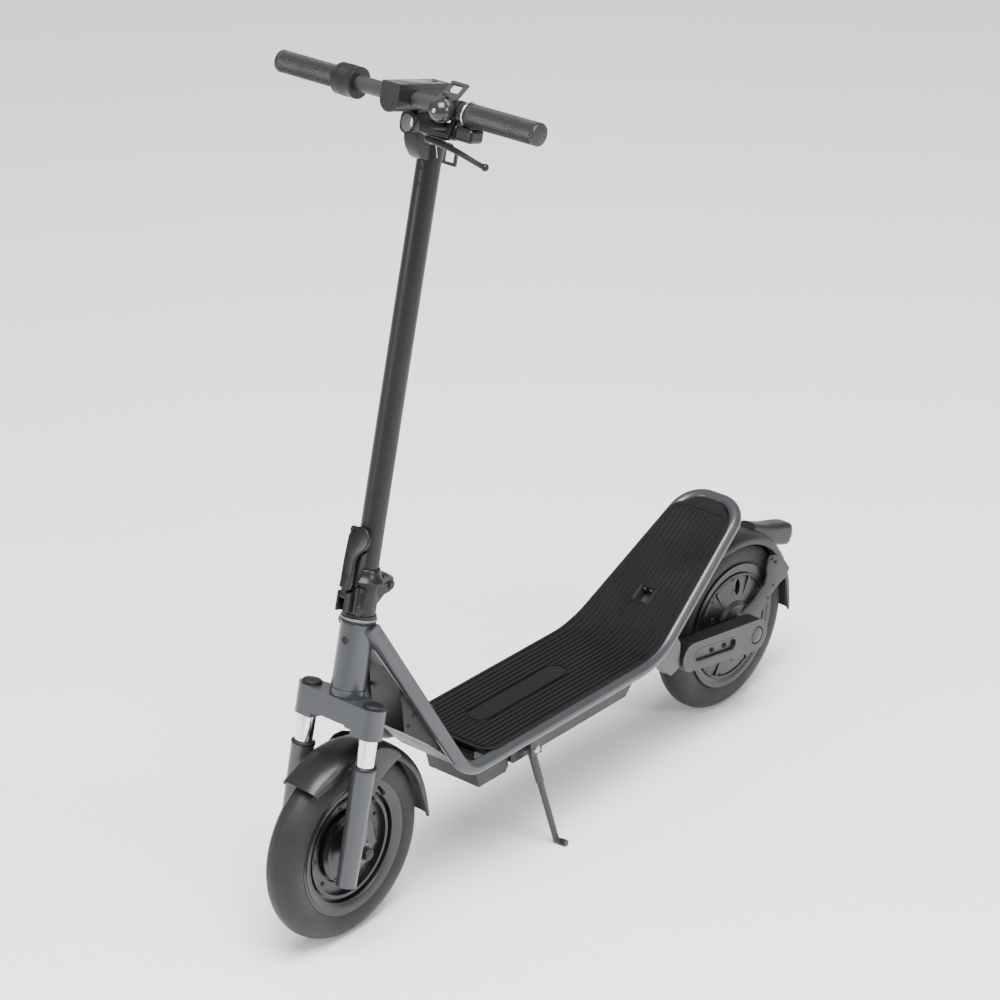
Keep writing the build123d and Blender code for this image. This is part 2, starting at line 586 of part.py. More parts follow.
def fold_base():
    """Lower half of the folding joint, clamped on the steerer."""
    body = rod((0, 0, 513), (0, 0, FOLD_SPLIT - CLEAR), 22.6)
    body += rod((0, 0, HEAD_TOP + 7), (0, 0, 513), 24.6)
    body += side_plate([(-42, 543), (-30, 540), (-18, 528), (0, 528), (0, FOLD_SPLIT - CLEAR), (-40, FOLD_SPLIT - CLEAR)],
                       -15, 15)
    body += knuckle(-15, 15, 7.5)
    body += block((10, 31), (-13, 13), (518, FOLD_SPLIT - CLEAR))
    for side in (-7.1, 7.1):
        body += block((30, 44), (side - 1.9, side + 1.9), (520, 548.5))
    body += rod((LEVER_PIN[0], -9, LEVER_PIN[1]), (LEVER_PIN[0], 9, LEVER_PIN[1]), LEVER_PIN_RADIUS)
    body -= knuckle(-7.9, 7.9, 8.2)
    body -= block((-60, FOLD_PIVOT[0]), (-7.9, 7.9), (500, 600))
    body -= knuckle(-20, 20, 4)
    body -= rod((0, 0, HEAD_TOP), (0, 0, 548.05), STEERER_RADIUS)
    return body


def fold_head():
    """Upper half of the folding joint, fixed on the foot of the stem."""
    low = FOLD_SPLIT + CLEAR
    body = rod((0, 0, low), (0, 0, 578), 23.5, 20.5)
    web = side_plate([(-44, 555), (-36, low), (0, low), (0, 576), (-12, 577), (-24, 572), (-45, 559)], -7.6, 7.6)
    body += web + knuckle(-7.6, 7.6, 7.5)
    wings = side_plate([(-31, low), (0, low), (0, 574), (-18, 573), (-31, 563)], -15, 15)
    body += wings
    body += side_plate([(10, low), (30, low), (30, 566), (24, 602), (16, 606), (10, 600)], -10, 10)
    body -= rod((0, 0, 559), (0, 0, 640), STEM_RADIUS)
    return body - knuckle(-20, 20, 4 + RUNNING)


def lever_plane():
    """Plane of the lever's blade: sideways, up the blade and out of its front."""
    return Plane(origin=(22.2, 0, 622), x_dir=(0, 1, 0), z_dir=(0.975, 0, 0.222))


def fold_lever():
    """Long front lever: a round head with a catch lug, a slim blade and a thick foot on its pin."""
    head = Pos(0, 0) * Circle(18.5).edge()
    neck = Pos(0, -34) * Circle(9).edge()
    foot = Pos(0, -62) * Circle(9).edge()
    blade = extrude(make_hull([head, neck]), amount=5)
    blade += extrude(make_hull([neck, foot]), amount=5)
    blade += Pos(0, -58, 3) * Box(18, 24, 7)
    blade += Pos(LATCH[0], LATCH[1]) * Cylinder(5.6, 5, align=LOW)
    blade -= Pos(LATCH[0], LATCH[1], -1) * Cylinder(2.8 + CLEAR, 8, align=LOW)
    body = lever_plane().location * blade
    forward, height = LEVER_PIN
    body += rod((forward, -4.7, height), (forward, 4.7, height), 5)
    body += block((forward - 3.5, 42.5), (-4.7, 4.7), (height, 562))
    return body - rod((forward, -6, height), (forward, 6, height), LEVER_PIN_RADIUS + RUNNING)


def safety_latch():
    """Press knob in the lever's lug."""
    return lever_plane().location * (Pos(LATCH[0], LATCH[1], 0.5) * Cylinder(2.8, 8, align=LOW))


def build_folding():
    """Folding joint, its pin, lever and latch, and the stem tube."""
    add("fold_base", on_head(fold_base()))
    add("fold_head", on_head(fold_head()))
    add("fold_pin", on_head(knuckle(-16, 16, 4)))
    add("fold_lever", on_head(fold_lever()))
    add("safety_latch", on_head(safety_latch()))
    add("stem_tube", on_head(tube((0, 0, 559), (0, 0, STEM_TOP), STEM_RADIUS, STEM_RADIUS - STEM_WALL)))


# ---------------------------------------------------------------- handlebar and controls
def pod_envelope(grow=0.0):
    """Outer form of the display pod: flat on top and round underneath."""
    radius = 16 + grow
    length = POD_OFF[1] - POD_OFF[0] + 2 * grow
    round_part = rod((POD_OFF[0] - grow, 0, POD_LOW + 16), (POD_OFF[1] + grow, 0, POD_LOW + 16), radius)
    upper = block((POD_OFF[0] - grow, POD_OFF[0] - grow + length), (-radius, radius), (POD_LOW + 16, POD_HIGH + grow))
    return round_part + upper


def display_pod():
    """Dashboard pod, hollow in front of and behind the bar, which passes through it."""
    pod = pod_envelope()
    pod -= block((0, 50), (-13, 13), (1236, POD_HIGH - COVER))
    pod -= block((82, 100), (-13, 13), (1236, POD_HIGH - COVER))
    pod -= block((6, 98), (-14, 14), (POD_HIGH - COVER, POD_HIGH + 1))
    return pod - bar_core()


def display_cover():
    """Glossy top panel of the pod."""
    cover = block((6, 98), (-14, 14), (POD_HIGH - COVER, POD_HIGH))
    return cover - Pos(*BUTTON) * Cylinder(4.3 + CLEAR, 20)


def neck_clamp():
    """Stem head: a collar on the stem that carries the headlight and the pod."""
    side_view = [(-18, 1162), (-20, 1186), (-6, 1212), (30, 1240), (58, 1240), (58, 1196), (48, 1181), (26, 1174),
                 (18, 1162)]
    neck = side_plate(side_view, -15, 15)
    neck = fillet(neck.edges().filter_by(Axis.Y), 3)
    neck &= front_plate([(-15, 1250), (15, 1250), (15, 1196), (8, 1160), (8, 1150), (-8, 1150), (-8, 1160),
                         (-15, 1196)], -40, 70)
    neck += rod((0, 0, 1162), (0, 0, 1190), 18.9)
    neck += block((-47, -15), (-6, 6), (1176, 1184))
    neck -= pod_envelope(0.02)
    neck -= rod((0, 0, 1150), (0, 0, STEM_TOP), STEM_RADIUS)
    return neck - block((54, 60), (-11.5, 11.5), (1199, 1229))


def fold_hook():
    """Square loop behind the stem head that the tail's pocket receives."""
    frame = block((-45.5, -41.5), (-12.5, 12.5), (1152, 1176))
    return frame - block((-50, -36), (-8.5, 8.5), (1156, 1172))


def bag_hook():
    """Small upright frame clamped on the bar, with a rectangular eye."""
    ring_part = bar_collar(54, 66, 14.4, BAR_RADIUS)
    plate = block((-2, 2), (-14.5, 14.5), (0, 34))
    plate -= block((-4, 4), (-9.5, 9.5), (14, 29))
    tilted = Pos(BAR_FORWARD - 9, 60, BAR_HEIGHT + 8) * (Rot(0, -48, 0) * plate)
    return ring_part + tilted - bar_core()


def brake_perch():
    """Lever housing below the left of the bar, with its clamp."""
    perch = bar_collar(89.5, 96, 15.2, BAR_RADIUS)
    perch += side_plate([(60, 1218), (86, 1218), (76, 1240), (70, 1246), (58, 1240)], 89.5, 96)
    perch += block((58, 84), (40, 96), (1210, 1222), 4)
    perch += rod((BRAKE_PIVOT[0], BRAKE_PIVOT[1], 1200), (BRAKE_PIVOT[0], BRAKE_PIVOT[1], 1211), BRAKE_PIN)
    return perch - bar_core()


def brake_lever():
    """Brake blade with a ball end."""
    forward, side, height = BRAKE_PIVOT
    hub = rod((forward, side, 1200), (forward, side, 1209), 8)
    path = FilletPolyline((forward, side, 1204), (forward + 18, side + 55, 1202), (forward + 16, side + 108, 1192),
                          radius=60)
    blade = sweep(Plane(origin=path @ 0, z_dir=path % 0) * Circle(4.2), path=path)
    blade += Pos(*(path @ 1)) * Sphere(5.4)
    return hub + blade - rod((forward, side, 1190), (forward, side, 1215), BRAKE_PIN + RUNNING)


def bar_core():
    """The space that the handlebar tube itself fills."""
    return rod((BAR_FORWARD, -BAR_HALF, BAR_HEIGHT), (BAR_FORWARD, BAR_HALF, BAR_HEIGHT), BAR_RADIUS)


def bell():
    """Bell: a domed cup in front of the bar on its own clamp."""
    side = BELL_SIDE
    clamp = bar_collar(side - 4, side + 4, 14.2, BAR_RADIUS)
    foot = rod((BAR_FORWARD + 12, side, BAR_HEIGHT), (BAR_FORWARD + 18, side, BAR_HEIGHT), BELL_FOOT)
    rim = rod((BAR_FORWARD + 17, side, BAR_HEIGHT), (BAR_FORWARD + 23, side, BAR_HEIGHT), 16.5)
    cap = Pos(BAR_FORWARD + 23, side, BAR_HEIGHT) * Sphere(16.5)
    front = block((BAR_FORWARD + 23, BAR_FORWARD + 40), (side - 18, side + 18), (BAR_HEIGHT - 18, BAR_HEIGHT + 18))
    return clamp + (foot - bar_core()) + rim + (cap & front)


def bell_striker():
    """Rotary thumb lever between the bell and its clamp."""
    hub = (BAR_FORWARD + 13.9, BELL_SIDE, BAR_HEIGHT)
    front = (BAR_FORWARD + 16.3, BELL_SIDE, BAR_HEIGHT)
    arm = block((hub[0], front[0]), (BELL_SIDE - 2.5, BELL_SIDE + 2.5), (BAR_HEIGHT + 8, BAR_HEIGHT + 24))
    tab = block((hub[0], BAR_FORWARD + 22), (BELL_SIDE - 3.5, BELL_SIDE + 3.5), (BAR_HEIGHT + 18.5, BAR_HEIGHT + 24))
    return tube(hub, front, 8.6, BELL_FOOT + RUNNING) + arm + tab


def switch_pod():
    """Small switch box under the inner end of the left grip."""
    pod = bar_collar(97.5, 108.5, 14.6, BAR_RADIUS)
    pod += block((58, 74), (98, 108), (1226, 1240))
    pod += block((50, 78), (98, 128), (1212, 1231.5), 5)
    return pod - bar_core() - rod((49, 116, 1222), (53, 116, 1222), 5 + CLEAR)


def build_bar():
    """Handlebar and everything on it."""
    bar = tube((BAR_FORWARD, -BAR_HALF, BAR_HEIGHT), (BAR_FORWARD, BAR_HALF, BAR_HEIGHT), BAR_RADIUS, BAR_RADIUS - 2)
    add("handlebar", on_head(bar))
    grips = [bar_collar(111, BAR_HALF, GRIP_RADIUS, BAR_RADIUS) + bar_collar(BAR_HALF, 231.5, GRIP_RADIUS, 1),
             bar_collar(-BAR_HALF, -121, GRIP_RADIUS, BAR_RADIUS) + bar_collar(-231.5, -BAR_HALF, GRIP_RADIUS, 1)]
    add("grips", group([on_head(grip) for grip in grips]))
    add("display_pod", on_head(display_pod()))
    add("display_cover", on_head(display_cover()))
    add("neck_clamp", on_head(neck_clamp()))
    add("headlight_lens", on_head(block((54, 57.2), (-11.4, 11.4), (1199.1, 1228.9))))
    add("fold_hook", on_head(fold_hook()))
    add("bag_hook", on_head(bag_hook()))
    add("brake_perch", on_head(brake_perch()))
    add("brake_lever", on_head(brake_lever()))
    add("throttle_collar", on_head(bar_collar(*THROTTLE_SIDE, 22, BAR_RADIUS + RUNNING)))
    add("bell", on_head(bell()))
    add("bell_striker", on_head(bell_striker()))
    add("switch_pod", on_head(switch_pod()))
    button = rod((48, 116, 1222), (51.5, 116, 1222), 5)
    add("switch_button", on_head(button))
    power = rod((BUTTON[0], BUTTON[1], POD_HIGH - COVER), (BUTTON[0], BUTTON[1], POD_HIGH + 0.8), 4.3)
    add("power_button", on_head(power))


def main():
    """Build every piece and write one STEP file per node."""
    build_wheels()
    build_deck()
    build_rear()
    build_fork()
    build_folding()
    build_bar()
    os.makedirs("parts", exist_ok=True)
    for name, shape in PARTS.items():
        export_step(shape, f"parts/{name}.step")
    print(len(PARTS), "nodes")


main()
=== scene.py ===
"""Looks of a folding electric kick scooter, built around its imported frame.

The frame's own pieces keep their shape and get their finishes here.  Tyres, grips, bolts, seals,
lamps and trims are built in mesh code and ride on the frame's bodies.  Lengths are in metres,
with +X forward, +Y to the rider's left and +Z up.
"""

import json
import logging
import math
from dataclasses import dataclass, field
from enum import Enum
from typing import Callable, Iterable, Sequence

import bmesh
import bpy
from mathutils import Euler, Matrix, Vector

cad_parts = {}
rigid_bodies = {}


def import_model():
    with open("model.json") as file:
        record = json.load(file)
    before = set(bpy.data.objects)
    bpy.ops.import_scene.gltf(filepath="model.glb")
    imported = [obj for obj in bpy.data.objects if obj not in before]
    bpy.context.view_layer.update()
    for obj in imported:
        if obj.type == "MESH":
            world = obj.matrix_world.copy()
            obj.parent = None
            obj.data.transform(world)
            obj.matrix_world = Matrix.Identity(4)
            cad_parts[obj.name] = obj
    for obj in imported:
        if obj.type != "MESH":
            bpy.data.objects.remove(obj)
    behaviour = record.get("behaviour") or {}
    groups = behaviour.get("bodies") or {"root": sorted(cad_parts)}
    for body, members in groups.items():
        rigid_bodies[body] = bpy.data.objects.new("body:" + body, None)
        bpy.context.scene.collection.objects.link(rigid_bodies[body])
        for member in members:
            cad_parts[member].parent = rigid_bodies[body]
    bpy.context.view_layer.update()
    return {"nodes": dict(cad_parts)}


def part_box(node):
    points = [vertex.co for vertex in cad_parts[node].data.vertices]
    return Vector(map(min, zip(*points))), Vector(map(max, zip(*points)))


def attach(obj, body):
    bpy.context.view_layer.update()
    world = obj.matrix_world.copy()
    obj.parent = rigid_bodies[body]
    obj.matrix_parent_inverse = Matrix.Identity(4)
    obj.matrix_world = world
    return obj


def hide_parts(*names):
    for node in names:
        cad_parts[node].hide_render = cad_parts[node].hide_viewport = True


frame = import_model()

LOG = logging.getLogger("scooter")
MM = 0.001
SHARP_ANGLE = math.radians(38)
AXLE_HEIGHT = 145.0
LEFT = Vector((0, 1, 0))
SIDES = ((1, "left"), (-1, "right"))

Profile = Sequence[tuple[float, float]]
Point = tuple[float, float, float]


# ---------------------------------------------------------------- finishes
class Grain(Enum):
    """Fine texture of a surface."""

    SMOOTH = "smooth"
    FINE = "fine"
    PEBBLE = "pebble"
    STREAKS = "streaks"
    FLAKES = "flakes"


@dataclass(frozen=True)
class Finish:
    """A surface finish, made once as a node material.

    Attributes:
        name: name of the material.
        slot: the record's material slot that it belongs to; not used.
        colour: middle tone, linear.
        spread: how far the patches go darker and lighter, as a part of the tone.
        roughness: lowest and highest roughness.
        metallic: how metallic it is.
        patch: size of the colour patches, in metres.
        grain: kind of fine texture.
        grain_size: size of the fine texture, in metres.
        bump: strength of the fine texture.
        coat: strength of a clear coat.
        sheen: strength of a dusty sheen.
        specular: strength of the plain reflection.
        transmission: how much light goes through.
        anisotropy: how far the reflection is drawn out.
        edge: radius of the softened edges, in metres.
    """

    name: str
    slot: str
    colour: tuple[float, float, float]
    spread: float = 0.18
    roughness: tuple[float, float] = (0.4, 0.55)
    metallic: float = 0.0
    patch: float = 0.05
    grain: Grain = Grain.FINE
    grain_size: float = 0.0008
    bump: float = 0.12
    coat: float = 0.0
    sheen: float = 0.0
    specular: float = 0.5
    transmission: float = 0.0
    anisotropy: float = 0.0
    edge: float = 0.0006

    def material(self) -> bpy.types.Material:
        """Make the material, or find it again.

        Returns:
            The node material of this finish.
        """
        known = bpy.data.materials.get(self.name)
        if known:
            return known
        made = bpy.data.materials.new(self.name)
        made.use_nodes = True
        tree = made.node_tree
        tree.nodes.clear()
        shader = tree.nodes.new("ShaderNodeBsdfPrincipled")
        output = tree.nodes.new("ShaderNodeOutputMaterial")
        tree.links.new(shader.outputs["BSDF"], output.inputs["Surface"])
        place = tree.nodes.new("ShaderNodeTexCoord").outputs["Object"]
        self._set_plain_values(shader)
        self._link_colour(tree, place, shader)
        self._link_surface(tree, place, shader)
        return made

    def _set_plain_values(self, shader: bpy.types.Node) -> None:
        """Set the values that are the same all over.

        Args:
            shader: the principled shader.
        """
        values = {"Metallic": self.metallic, "Coat Weight": self.coat, "Coat Roughness": 0.08,
                  "Sheen Weight": self.sheen, "Sheen Roughness": 0.45, "Specular IOR Level": self.specular,
                  "Transmission Weight": self.transmission, "Anisotropic": self.anisotropy}
        for socket, value in values.items():
            shader.inputs[socket].default_value = value

    def _link_colour(self, tree: bpy.types.NodeTree, place: bpy.types.NodeSocket,
                     shader: bpy.types.Node) -> None:
        """Blend patches of darker and lighter tone.

        Args:
            tree: the material's node tree.
            place: object coordinates.
            shader: the principled shader.
        """
        noise = tree.nodes.new("ShaderNodeTexNoise")
        noise.inputs["Scale"].default_value = 1.0 / self.patch
        noise.inputs["Detail"].default_value = 5.0
        noise.inputs["Roughness"].default_value = 0.62
        ramp = tree.nodes.new("ShaderNodeValToRGB")
        low, high = ramp.color_ramp.elements
        low.position, high.position = 0.32, 0.70
        low.color = (*[tone * (1 - self.spread) for tone in self.colour], 1)
        high.color = (*[min(1.0, tone * (1 + self.spread)) for tone in self.colour], 1)
        middle = ramp.color_ramp.elements.new(0.5)
        middle.color = (*self.colour, 1)
        tree.links.new(place, noise.inputs["Vector"])
        tree.links.new(noise.outputs["Fac"], ramp.inputs["Fac"])
        tree.links.new(ramp.outputs["Color"], shader.inputs["Base Color"])

    def _link_surface(self, tree: bpy.types.NodeTree, place: bpy.types.NodeSocket,
                      shader: bpy.types.Node) -> None:
        """Link roughness, fine texture and softened edges.

        Args:
            tree: the material's node tree.
            place: object coordinates.
            shader: the principled shader.
        """
        smudge = tree.nodes.new("ShaderNodeTexNoise")
        smudge.inputs["Scale"].default_value = 0.6 / self.patch
        smudge.inputs["Detail"].default_value = 6.0
        spread = tree.nodes.new("ShaderNodeMapRange")
        spread.inputs["From Min"].default_value = 0.35
        spread.inputs["From Max"].default_value = 0.65
        spread.inputs["To Min"].default_value = self.roughness[0]
        spread.inputs["To Max"].default_value = self.roughness[1]
        tree.links.new(place, smudge.inputs["Vector"])
        tree.links.new(smudge.outputs["Fac"], spread.inputs["Value"])
        tree.links.new(spread.outputs["Result"], shader.inputs["Roughness"])
        bump = tree.nodes.new("ShaderNodeBump")
        bump.inputs["Strength"].default_value = self.bump
        bump.inputs["Distance"].default_value = self.grain_size * 0.35
        tree.links.new(self._height(tree, place), bump.inputs["Height"])
        if self.edge:
            soft = tree.nodes.new("ShaderNodeBevel")
            soft.samples = 4
            soft.inputs["Radius"].default_value = self.edge
            tree.links.new(soft.outputs["Normal"], bump.inputs["Normal"])
        tree.links.new(bump.outputs["Normal"], shader.inputs["Normal"])

    def _height(self, tree: bpy.types.NodeTree, place: bpy.types.NodeSocket) -> bpy.types.NodeSocket:
        """Make the fine texture's height.

        Args:
            tree: the material's node tree.
            place: object coordinates.

        Returns:
            The socket that holds the height.
        """
        scale = 1.0 / self.grain_size
        if self.grain in (Grain.PEBBLE, Grain.FLAKES):
            cells = tree.nodes.new("ShaderNodeTexVoronoi")
            cells.inputs["Scale"].default_value = scale
            tree.links.new(place, cells.inputs["Vector"])
            return cells.outputs["Distance" if self.grain is Grain.PEBBLE else "Color"]
        noise = tree.nodes.new("ShaderNodeTexNoise")
        noise.inputs["Detail"].default_value = 3.0
        noise.inputs["Scale"].default_value = scale
        if self.grain is Grain.STREAKS:
            stretch = tree.nodes.new("ShaderNodeMapping")
            stretch.inputs["Scale"].default_value = (1.0, 0.04, 1.0)
            tree.links.new(place, stretch.inputs["Vector"])
            tree.links.new(stretch.outputs["Vector"], noise.inputs["Vector"])
        else:
            tree.links.new(place, noise.inputs["Vector"])
        return noise.outputs["Fac"]


TYRE_RUBBER = Finish("tyre_rubber", "tyre", (0.011, 0.011, 0.0115), 0.25, (0.5, 0.66), patch=0.06,
                     grain_size=0.0012, bump=0.2, sheen=0.02, specular=0.3, edge=0.0)
FRAME_PAINT = Finish("frame_paint", "frame_grey", (0.052, 0.055, 0.060), 0.07, (0.28, 0.36), 0.5, 0.09,
                     Grain.FLAKES, 0.0005, 0.10, coat=0.15)
STEM_PAINT = Finish("stem_paint", "black_paint", (0.008, 0.008, 0.0088), 0.12, (0.34, 0.44), 0.1, 0.08,
                    Grain.FINE, 0.0007, 0.16, specular=0.34)
BLACK_PAINT = Finish("black_paint", "black_paint", (0.007, 0.007, 0.0075), 0.15, (0.34, 0.46), 0.1, 0.05,
                     specular=0.34)
DECK_SHEET = Finish("deck_sheet", "deck_black", (0.006, 0.006, 0.0065), 0.15, (0.36, 0.46), 0.2, 0.05,
                    specular=0.3)
CAST_BLACK = Finish("cast_black", "cast_black", (0.011, 0.011, 0.0116), 0.2, (0.34, 0.48), 0.25, 0.03,
                    Grain.PEBBLE, 0.0009, 0.22, specular=0.4)
ANODISED = Finish("anodised_black", "alloy_black", (0.011, 0.011, 0.012), 0.15, (0.28, 0.4), 0.4, 0.04,
                  Grain.FINE, 0.0005, 0.14, specular=0.4)
GREY_ALLOY = Finish("grey_alloy", "alloy_grey", (0.16, 0.165, 0.17), 0.12, (0.36, 0.48), 0.8, 0.04,
                    Grain.PEBBLE, 0.0006, 0.2)
CHROME = Finish("chrome", "chrome", (0.80, 0.80, 0.81), 0.03, (0.06, 0.14), 1.0, 0.03, Grain.STREAKS,
                0.0006, 0.03, anisotropy=0.2, edge=0.0003)
STEEL = Finish("bright_steel", "bright", (0.46, 0.46, 0.47), 0.1, (0.22, 0.34), 1.0, 0.02, Grain.STREAKS,
               0.0005, 0.12, anisotropy=0.4, edge=0.0003)
CORE_STEEL = Finish("core_steel", "steel", (0.20, 0.20, 0.21), 0.15, (0.4, 0.55), 0.9, 0.03)
MAT_RUBBER = Finish("mat_rubber", "mat", (0.004, 0.004, 0.0043), 0.22, (0.38, 0.52), patch=0.05,
                    grain=Grain.PEBBLE, grain_size=0.0011, bump=0.25, specular=0.22, edge=0.0004)
SMOOTH_RUBBER = Finish("smooth_rubber", "mat", (0.008, 0.008, 0.0086), 0.2, (0.46, 0.58), specular=0.3)
PLASTIC = Finish("black_plastic", "plastic", (0.008, 0.008, 0.0085), 0.15, (0.32, 0.46), patch=0.04,
                 grain=Grain.PEBBLE, grain_size=0.0007, bump=0.14, specular=0.36)
GREY_PLASTIC = Finish("grey_plastic", "plastic_grey", (0.010, 0.010, 0.0108), 0.15, (0.36, 0.48), patch=0.04,
                      grain=Grain.PEBBLE, grain_size=0.0008, bump=0.16, specular=0.4)
COVER_PLASTIC = Finish("cover_plastic", "plastic_grey", (0.011, 0.011, 0.012), 0.15, (0.28, 0.4), patch=0.04,
                       grain=Grain.PEBBLE, grain_size=0.0008, bump=0.12, specular=0.5)
GRIP_RUBBER = Finish("grip_rubber", "grip", (0.013, 0.013, 0.0138), 0.2, (0.36, 0.5), patch=0.02,
                     grain_size=0.0006, specular=0.42, edge=0.0)
GLOSS_BLACK = Finish("gloss_black", "gloss_black", (0.008, 0.008, 0.0086), 0.1, (0.2, 0.3), coat=0.12,
                     bump=0.02)
PANEL = Finish("gloss_panel", "gloss_grey", (0.045, 0.046, 0.049), 0.08, (0.10, 0.2), coat=0.6, bump=0.02)
DARK_GLASS = Finish("dark_window", "gloss_black", (0.004, 0.004, 0.005), 0.1, (0.04, 0.09), coat=1.0,
                    bump=0.01)
CLEAR = Finish("clear_lens", "clear", (0.86, 0.88, 0.9), 0.03, (0.04, 0.1), bump=0.02, transmission=0.92)
SMOKED = Finish("smoked_lens", "clear", (0.10, 0.10, 0.11), 0.1, (0.10, 0.2), coat=0.4, bump=0.02)
RED_LENS = Finish("red_lens", "red", (0.16, 0.004, 0.004), 0.2, (0.1, 0.2), coat=0.5, bump=0.02)
SHRINK_WRAP = Finish("shrink_wrap", "cells", (0.03, 0.07, 0.16), 0.15, (0.3, 0.4))
# Painted shade: the dark floors and sheets in holes and slots stand in for the shade inside them; the same
# dark also draws seams and lines.
HOLE_SHADE_AND_SEAMS = Finish("dark_hole", "plastic", (0.004, 0.004, 0.004), 0.3, (0.7, 0.85), bump=0.05)

CAD_FINISHES: dict[str, Finish] = {
    "front_tyre": TYRE_RUBBER, "front_rim": CAST_BLACK, "front_bearings": STEEL, "front_axle": STEEL,
    "brake_plate": CAST_BLACK, "rear_tyre": TYRE_RUBBER, "motor_shell": CAST_BLACK,
    "motor_covers": CAST_BLACK,
    "rear_bearings": STEEL, "motor_stator": CORE_STEEL, "rear_axle": STEEL, "main_frame": FRAME_PAINT,
    "deck_plate": DECK_SHEET, "deck_mat": MAT_RUBBER, "catch_pocket": BLACK_PAINT,
    "battery_box": GREY_PLASTIC,
    "battery_pack": SHRINK_WRAP, "controller_box": GREY_PLASTIC, "controller": GREY_ALLOY,
    "neck_shroud": PLASTIC, "stand_bracket": BLACK_PAINT, "kickstand": BLACK_PAINT, "rear_dropouts": ANODISED,
    "arm_covers": COVER_PLASTIC, "rear_fender": PLASTIC, "fender_stays": BLACK_PAINT,
    "tail_light_housing": PLASTIC, "tail_light_lens": RED_LENS, "crown": FRAME_PAINT, "stanchions": CHROME,
    "fork_springs": STEEL, "fork_leg_left": FRAME_PAINT, "fork_leg_right": FRAME_PAINT,
    "fork_dropouts": FRAME_PAINT, "front_fender": PLASTIC, "steerer": STEEL, "headset_bearings": STEEL,
    "headset_cups": ANODISED, "fold_base": ANODISED, "fold_head": ANODISED, "fold_pin": ANODISED,
    "fold_lever": ANODISED, "safety_latch": GLOSS_BLACK, "stem_tube": STEM_PAINT, "handlebar": BLACK_PAINT,
    "grips": GRIP_RUBBER, "display_pod": PLASTIC, "display_cover": PANEL, "neck_clamp": ANODISED,
    "headlight_lens": CLEAR, "fold_hook": BLACK_PAINT, "bag_hook": BLACK_PAINT, "brake_perch": ANODISED,
    "brake_lever": ANODISED, "throttle_collar": PLASTIC, "bell": GLOSS_BLACK, "bell_striker": GLOSS_BLACK,
    "switch_pod": PLASTIC, "switch_button": PANEL, "power_button": GLOSS_BLACK,
}


# ---------------------------------------------------------------- places and mesh tools
@dataclass(frozen=True)
class Layout:
    """Main places of the scooter, read from the frame.

    Attributes:
        rear_x: place of the rear axle, in metres.
        front_x: place of the front axle, in metres.
        axle_z: height of both axles, in metres.
        lean: angle that the steering axis leans back.
        trail: how far in front of the front axle that axis meets the ground, in millimetres.
    """

    rear_x: float
    front_x: float
    axle_z: float = AXLE_HEIGHT * MM
    lean: float = math.radians(14.24)
    trail: float = 77.1

    @classmethod
    def read(cls) -> "Layout":
        """Read the axles' places.

        Returns:
            The layout of this frame.
        """
        middles = [sum(corner[0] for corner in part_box(node)) / 2 for node in ("rear_axle", "front_axle")]
        return cls(*middles)

    def head(self, forward: float, side: float, height: float) -> Vector:
        """A point given along the steering axis.

        Args:
            forward: distance in front of the steering axis, in millimetres.
            side: distance to the left, in millimetres.
            height: height along the steering axis, in millimetres.

        Returns:
            The point in the scooter's own axes, in metres.
        """
        ground = self.front_x + self.trail * MM
        cosine, sine = math.cos(self.lean), math.sin(self.lean)
        x = ground + (forward * cosine - height * sine) * MM
        return Vector((x, side * MM, (forward * sine + height * cosine) * MM))

    def head_way(self, forward: float, side: float, height: float) -> Vector:
        """A direction given along the steering axis.

        Args:
            forward: forward part.
            side: left part.
            height: part along the steering axis.

        Returns:
            The unit direction.
        """
        return (self.head(forward, side, height) - self.head(0, 0, 0)).normalized()

    def rear(self, x: float, y: float, z: float) -> Vector:
        """A point measured in millimetres from under the rear axle.

        Args:
            x: distance in front of the rear axle.
            y: distance to the left.
            z: height.

        Returns:
            The point in metres.
        """
        return Vector((self.rear_x + x * MM, y * MM, z * MM))


def facing(origin: Vector, way: Vector, up: Vector = Vector((0, 0, 1))) -> Matrix:
    """A place whose Z axis points a given way.

    Args:
        origin: its origin.
        way: direction of its Z axis.
        up: direction that its Y axis leans to.

    Returns:
        The place as a matrix.
    """
    z_axis = way.normalized()
    if abs(z_axis.dot(up)) > 0.98:
        up = Vector((1, 0, 0))
    x_axis = up.cross(z_axis).normalized()
    y_axis = z_axis.cross(x_axis)
    turn = Matrix((x_axis, y_axis, z_axis)).transposed()
    return Matrix.Translation(origin) @ turn.to_4x4()


def keep_mesh(name: str, build: bmesh.types.BMesh, place: Matrix, finish: Finish, body: str,
              sharp: float = SHARP_ANGLE) -> bpy.types.Object:
    """Turn a finished build into a piece that rides on a body.

    Args:
        name: the piece's name.
        build: its mesh, in its own axes.
        place: where its axes are.
        finish: its finish.
        body: the body that carries it.
        sharp: edges steeper than this stay sharp.

    Returns:
        The piece.
    """
    bmesh.ops.remove_doubles(build, verts=build.verts, dist=1e-6)
    bmesh.ops.recalc_face_normals(build, faces=build.faces)
    mesh = bpy.data.meshes.new(name)
    build.transform(place)
    build.to_mesh(mesh)
    build.free()
    mesh.shade_smooth()
    mesh.set_sharp_from_angle(angle=sharp)
    mesh.materials.append(finish.material())
    piece = bpy.data.objects.new(name, mesh)
    bpy.context.scene.collection.objects.link(piece)
    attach(piece, body)
    return piece


